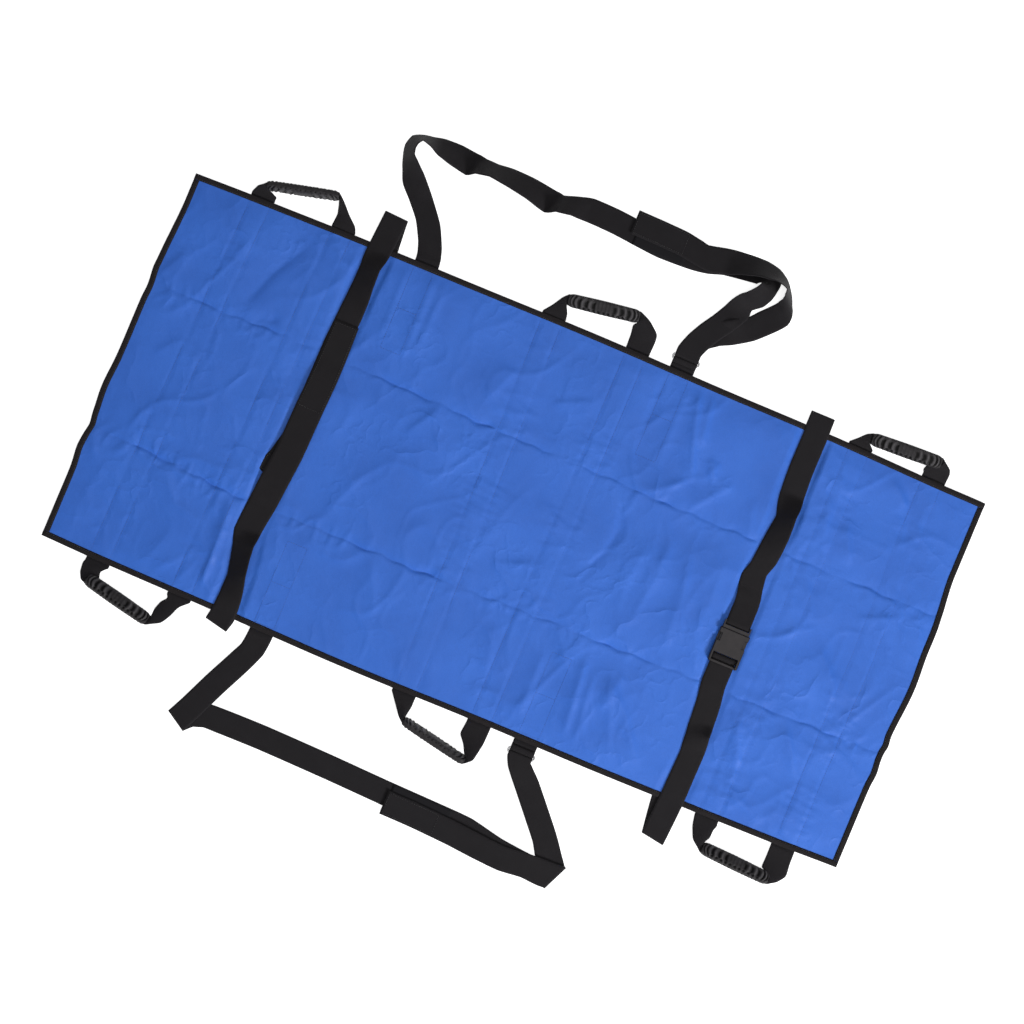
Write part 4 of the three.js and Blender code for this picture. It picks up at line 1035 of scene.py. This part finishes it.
def metal_loop(name, side):
    corner, half, around = 3.2, LOOP_HALF_WIDTH, 16
    rings = []
    for x, y, start in ((half, LOOP_NEAR_Y, 270), (half, LOOP_FAR_Y, 0), (-half, LOOP_FAR_Y, 90),
                        (-half, LOOP_NEAR_Y, 180)):
        cx, cy = x - math.copysign(corner, x), y + (corner if y == LOOP_NEAR_Y else -corner)
        rings += [(cx, cy, rad(start + 90 * k / 8)) for k in range(9)]
    points = []
    for cx, cy, turn in rings:
        for k in range(around):
            section = 2 * math.pi * k / around
            far = corner + WIRE * math.cos(section)
            points.append((LOOP_X + cx + far * math.cos(turn), side * (cy + far * math.sin(turn)),
                           LOOP_Z + WIRE * math.sin(section)))
    count = len(points)
    faces = [[r + c, r + (c + 1) % around, (r + around) % count + (c + 1) % around, (r + around) % count + c]
             for r in range(0, count, around) for c in range(around)]
    build = Build()
    build.add(points, [f[::-side] for f in faces])
    hand_over(build.make(f"ring_{name}", "metal"), f"shoulder_{name}", "loop_metal", f"metal_loop_{name}")


def shoulder_straps():
    for name, side, route in (("left", 1, LEFT_STRAP), ("right", -1, RIGHT_STRAP)):
        azimuth = 0 if side > 0 else -180
        strip = Strip(strip_frames(sewn_start(FOOT_X[name], side, azimuth) + route, sharp=0.7))
        tab = Strip(strip_frames([
            *sewn_start(LOOP_X, side, 0), (LOOP_X, side * HINGE_Y, HINGE_LIFT, 0),
            *half_turn(LOOP_X, side * (LOOP_NEAR_Y + SNUG), 0, (0, side), LOOP_Z - WRAP, LOOP_Z + WRAP),
            (LOOP_X, side * (HINGE_Y + 8), 5.6, 0), (LOOP_X, side * (HINGE_Y + 5), 4.7, 0)], stride=4))
        for sewn in (strip, tab):
            sewn.box(8, 70)
            sewn.box(110, 172)
        strip.box(strip.length - 112, strip.length - 5, cross=False)
        web_piece(strip, f"strap_{name}", f"shoulder_strap_{name}", f"strap_end_{name}",
                  body=f"shoulder_{name}", turn=over_hinge(side, HINGE_Y, -3, 7))
        web_piece(tab, f"tab_{name}", f"loop_tab_{name}", f"tab_end_{name}",
                  body=f"shoulder_{name}", turn=over_hinge(side, HINGE_Y, -3, 4), held="folded")
        metal_loop(name, side)


TAPES = {
    "loop_tape_left": ("shoulder_left", [(2, 621.3, LOOP_ON_FLOOR, -91), (62, 620.6, LOOP_ON_FLOOR, -91),
                                         (112, 620.8, LOOP_ON_FLOOR, -90)]),
    "hook_tape_left": ("shoulder_left", [(-8, 640, HOOK_ON_FLOOR, -90), (86, 637.6, HOOK_ON_FLOOR, -91)]),
    "loop_tape_right": ("shoulder_right", [(-20, -604.4, LOOP_ON_FLOOR, -269),
                                           (110, -607.8, LOOP_ON_FLOOR, -269)]),
    "hook_tape_right": ("shoulder_right", [(-20, -621, HOOK_ON_FLOOR, -270), (86, -624, HOOK_ON_FLOOR, -269)]),
    "chest_loop_tape": ("chest_left", [(-484, -70, LOOP_ON_SHEET, -192), (-472, -15, LOOP_ON_SHEET, -186),
                                       (-468, 40, LOOP_ON_SHEET, -181), (-467, 92, LOOP_ON_SHEET, -181)]),
    "chest_hook_tape": ("chest_right", [(-468.5, -72, HOOK_ON_SHEET, -2), (-462.3, 100, HOOK_ON_SHEET, 0)]),
}


def tapes():
    for node, (body, stations) in TAPES.items():
        strip = Strip(strip_frames(stations, thick=TAPE_THICK, width=TAPE, stride=6))
        web_piece(strip, f"{node}_cloth", node, body=body, width=TAPE, slot="hook_and_loop",
                  look="loop_tape" if "loop_tape" in node else "hook_tape")


# ---- the two restraint straps ----
EDGE_TURN = WEB_THICK / 2, ON_SHEET + WEB_THICK / 2
IN_FOLD = (0, 0, TURN_LOW * MM), (0, 0, TURN_HIGH * MM)


def chest_strap():
    middle = Strip(strip_frames([(-447.6, 378, 0, 0), (-465.4, -378, 0, 0)], stride=20))
    web_piece(middle, "chest_under", "chest_web", body="sheet")
    left = [
        *lying(0, (-447.5, 378.4, 0), (-448.5, 404, 0), (-452, 450, -2)),
        *half_turn(-453, 466, -3, (0, 1), *EDGE_TURN),
        *lying(ON_SHEET, (-456, 425, -2), (-459, 385, 4, 4), (-461, 352, 4, 30), (-461, 318, 3, 26),
            (-461, 285, 0, 14), (-463, 240, 1), (-466, 190, 0), (-467, 115, -1), (-468, 40, -1),
            (-470, -30, -6), (-482, -68, -16), (-499, -108, -26)),
    ]
    right = [
        (-465.5, -378.4, 0, 0), (-466, -404, 0, -5),
        *half_turn(-471, -421, -12, (-0.17, -0.98), *EDGE_TURN),
        *lying(ON_SHEET, (-466, -388, -2), (-466, -356, 8, 18), (-470, -316, 14, 37), (-476, -284, 18, 33),
            (-481, -256, 12, 26), (-485, -226, 9, 0, 55), (-479, -165, 3, 0, 58)),
        *lying(OVER_TAPES, (-474, -112, -2, 0, 58), (-468, -50, -2, 0, 57), (-465, 50, -1, 0, 57),
            (-462, 108, 0, 0, 56)),
        (-461, 150, LOOP_ON_SHEET, 1, 0, 54), (-461, 232, LOOP_ON_SHEET, 0),
    ]
    for name, route in (("left", left), ("right", right)):
        strip = Strip(strip_frames(route, sharp=0.8))
        strip.box(strip.length - 186, strip.length - 5, cross=False)
        strip.sew((-20, 4), (20, 4))
        web_piece(strip, f"chest_{name}_half", f"chest_strap_{name}", body=f"chest_{name}",
                  turn=IN_FOLD, held="folded", rests="sheet_cloth")


def leg_strap():
    raised = ON_SHEET + LAYER
    over = []
    for degrees in range(0, 181, 20):
        turn = rad(degrees)
        reach = WRAP * math.cos(turn) * (1 if degrees < 90 else 1.9)
        over.append((BUCKLE_X, SOCKET_BAR_Y - reach, BAR_Z + WRAP * math.sin(turn) - WEB_THICK / 2, 0, 0))
    route = [
        (487, 378, 0, 0), (489, -404, 0, -3),
        *half_turn(498, -479, -9, (-0.1, -0.99), *EDGE_TURN),
        *lying(ON_SHEET, (503, -398, 3), (504, -344, 10), (505, -290, 16), (501, -256, 10, 20),
            (500, -232, 8), (497, -190, 5)),
        (BUCKLE_X, -150, raised, 0), (BUCKLE_X, -103, raised, 0), (BUCKLE_X, -100, raised + 0.5, 0),
        (BUCKLE_X, -98.7, raised + 1.6, 0),
        *over,
        (BUCKLE_X, -89, BAR_Z - 3.4, 0), (BUCKLE_X, -91, ON_SHEET + 0.5, 0), (BUCKLE_X, -94.5, ON_SHEET, 0),
        (BUCKLE_X, -146, ON_SHEET, 0),
    ]
    web_piece(Strip(strip_frames(route, sharp=0.8)), "leg_long_half", "leg_strap_right", body="sheet",
              held="folded", rests="sheet_cloth")
    route = [
        (487, 378.4, 0, 0), (487, 404, 0, 0),
        *half_turn(487, 428, 0, (0, 1), *EDGE_TURN),
        *lying(ON_SHEET, (488, 380, 1), (488, 310, -1), (491, 258, 3), (495, 214, 14, 42), (494, 168, 8, 24),
            (490, 112, 14, 4), (482, 84, 16), (485, 58, 8)),
        (489, 40, raised, 2), (BUCKLE_X, 22, raised, 0), (BUCKLE_X, 0, ON_SHEET + 5, 0),
        *half_turn(BUCKLE_X, PLUG_BAR_Y, 0, (0, -1.75), BAR_Z + WRAP, BAR_Z - WRAP),
        (BUCKLE_X, -12, ON_SHEET, 0), (BUCKLE_X, 30, ON_SHEET, 0),
    ]
    strip = Strip(strip_frames(route, sharp=0.8))
    long = strip.length
    strip.sew((-20, long - 20), (20, long - 20), (20, long - 5), (-20, long - 5), (-20, long - 20))
    web_piece(strip, "leg_short_half", "leg_strap_left", body="plug", turn=IN_FOLD, held="folded",
              rests="sheet_cloth")


def block(low, high):
    mesh = bpy.data.meshes.new("block")
    points = [(x, y, z) for x in (low[0], high[0]) for y in (low[1], high[1]) for z in (low[2], high[2])]
    faces = [(0, 1, 3, 2), (4, 6, 7, 5), (0, 4, 5, 1), (2, 3, 7, 6), (0, 2, 6, 4), (1, 5, 7, 3)]
    mesh.from_pydata((np.array(points) * MM).tolist(), [], faces)
    return linked("block", mesh)


def socket_shell():
    """The socket with a notch in each side of its top, where the prongs show."""
    shell = linked("socket_shell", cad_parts["buckle_socket"].data.copy())
    top = ON_SHEET + GAP + BUCKLE_TALL
    cutters = [block((BUCKLE_X + low, -64, top - 3.6), (BUCKLE_X + high, -47, top + 2))
               for low, high in ((-34, -23.5), (23.5, 34))]
    for cutter in cutters:
        notch = shell.modifiers.new("notch", "BOOLEAN")
        notch.object, notch.operation, notch.solver = cutter, "DIFFERENCE", "EXACT"
    bpy.context.view_layer.update()
    mesh = bpy.data.meshes.new_from_object(shell.evaluated_get(bpy.context.evaluated_depsgraph_get()))
    shell.modifiers.clear()
    shell.data = mesh
    for cutter in cutters:
        bpy.data.objects.remove(cutter)
    hand_over(shell, "sheet", "buckle_plastic", "buckle_socket")
    return shell


def buckle():
    nodes = [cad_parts[name] for name in ("buckle_plug", "prong_head", "prong_foot")]
    for made in (socket_shell(), *nodes):
        made.data.materials.clear()
        made.data.materials.append(LOOKS["buckle"])
        flat = made.modifiers.new("flat", "DECIMATE")
        flat.decimate_type = "DISSOLVE"
        flat.angle_limit = rad(1)
        edge = made.modifiers.new("edge", "BEVEL")
        edge.width, edge.segments, edge.limit_method, edge.angle_limit = 0.7 * MM, 3, "ANGLE", rad(32)
        edge.harden_normals = True


# ---- the room ----
def room():
    scene = bpy.context.scene
    distance, seen = 4.5, 2.048  # metres to the floor, and metres of it across the picture
    camera = bpy.data.cameras.new("view")
    camera.sensor_width = 36
    camera.lens = camera.sensor_width * distance / seen
    scene.camera = linked("view", camera)
    scene.camera.location = (-0.0125, 0.0123, distance)
    scene.camera.rotation_euler = (0, 0, rad(22.71))
    floor = bpy.data.meshes.new("floor")
    half, z = 9, -0.0006
    corners = [(-half, -half, z), (half, -half, z), (half, half, z), (-half, half, z)]
    floor.from_pydata(corners, [], [(0, 1, 2, 3)])
    floor.materials.append(floor_look())
    linked("floor", floor)
    scene.world = bpy.data.worlds.new("studio")
    scene.world.use_nodes = True
    sky = scene.world.node_tree.nodes["Background"]
    sky.inputs["Color"].default_value = (1, 1, 1, 1)
    sky.inputs["Strength"].default_value = 0.25
    for name, at, size, watts in (("key", (4.4, -3.3, 3.3), 1.8, 325), ("top", (0.45, 0.2, 3.4), 3.2, 36)):
        lamp = bpy.data.lights.new(name, "AREA")
        lamp.shape, lamp.size, lamp.energy = "DISK", size, watts
        lit = linked(name, lamp)
        lit.location = at
        lit.rotation_euler = (Vector((0.2, 0, 0)) - Vector(at)).to_track_quat("-Z", "Y").to_euler()
    scene.view_settings.view_transform = "Standard"


room()
sheet_and_binding()
sheet_thread()
carry_webs()
handles()
shoulder_straps()
tapes()
chest_strap()
leg_strap()
buckle()
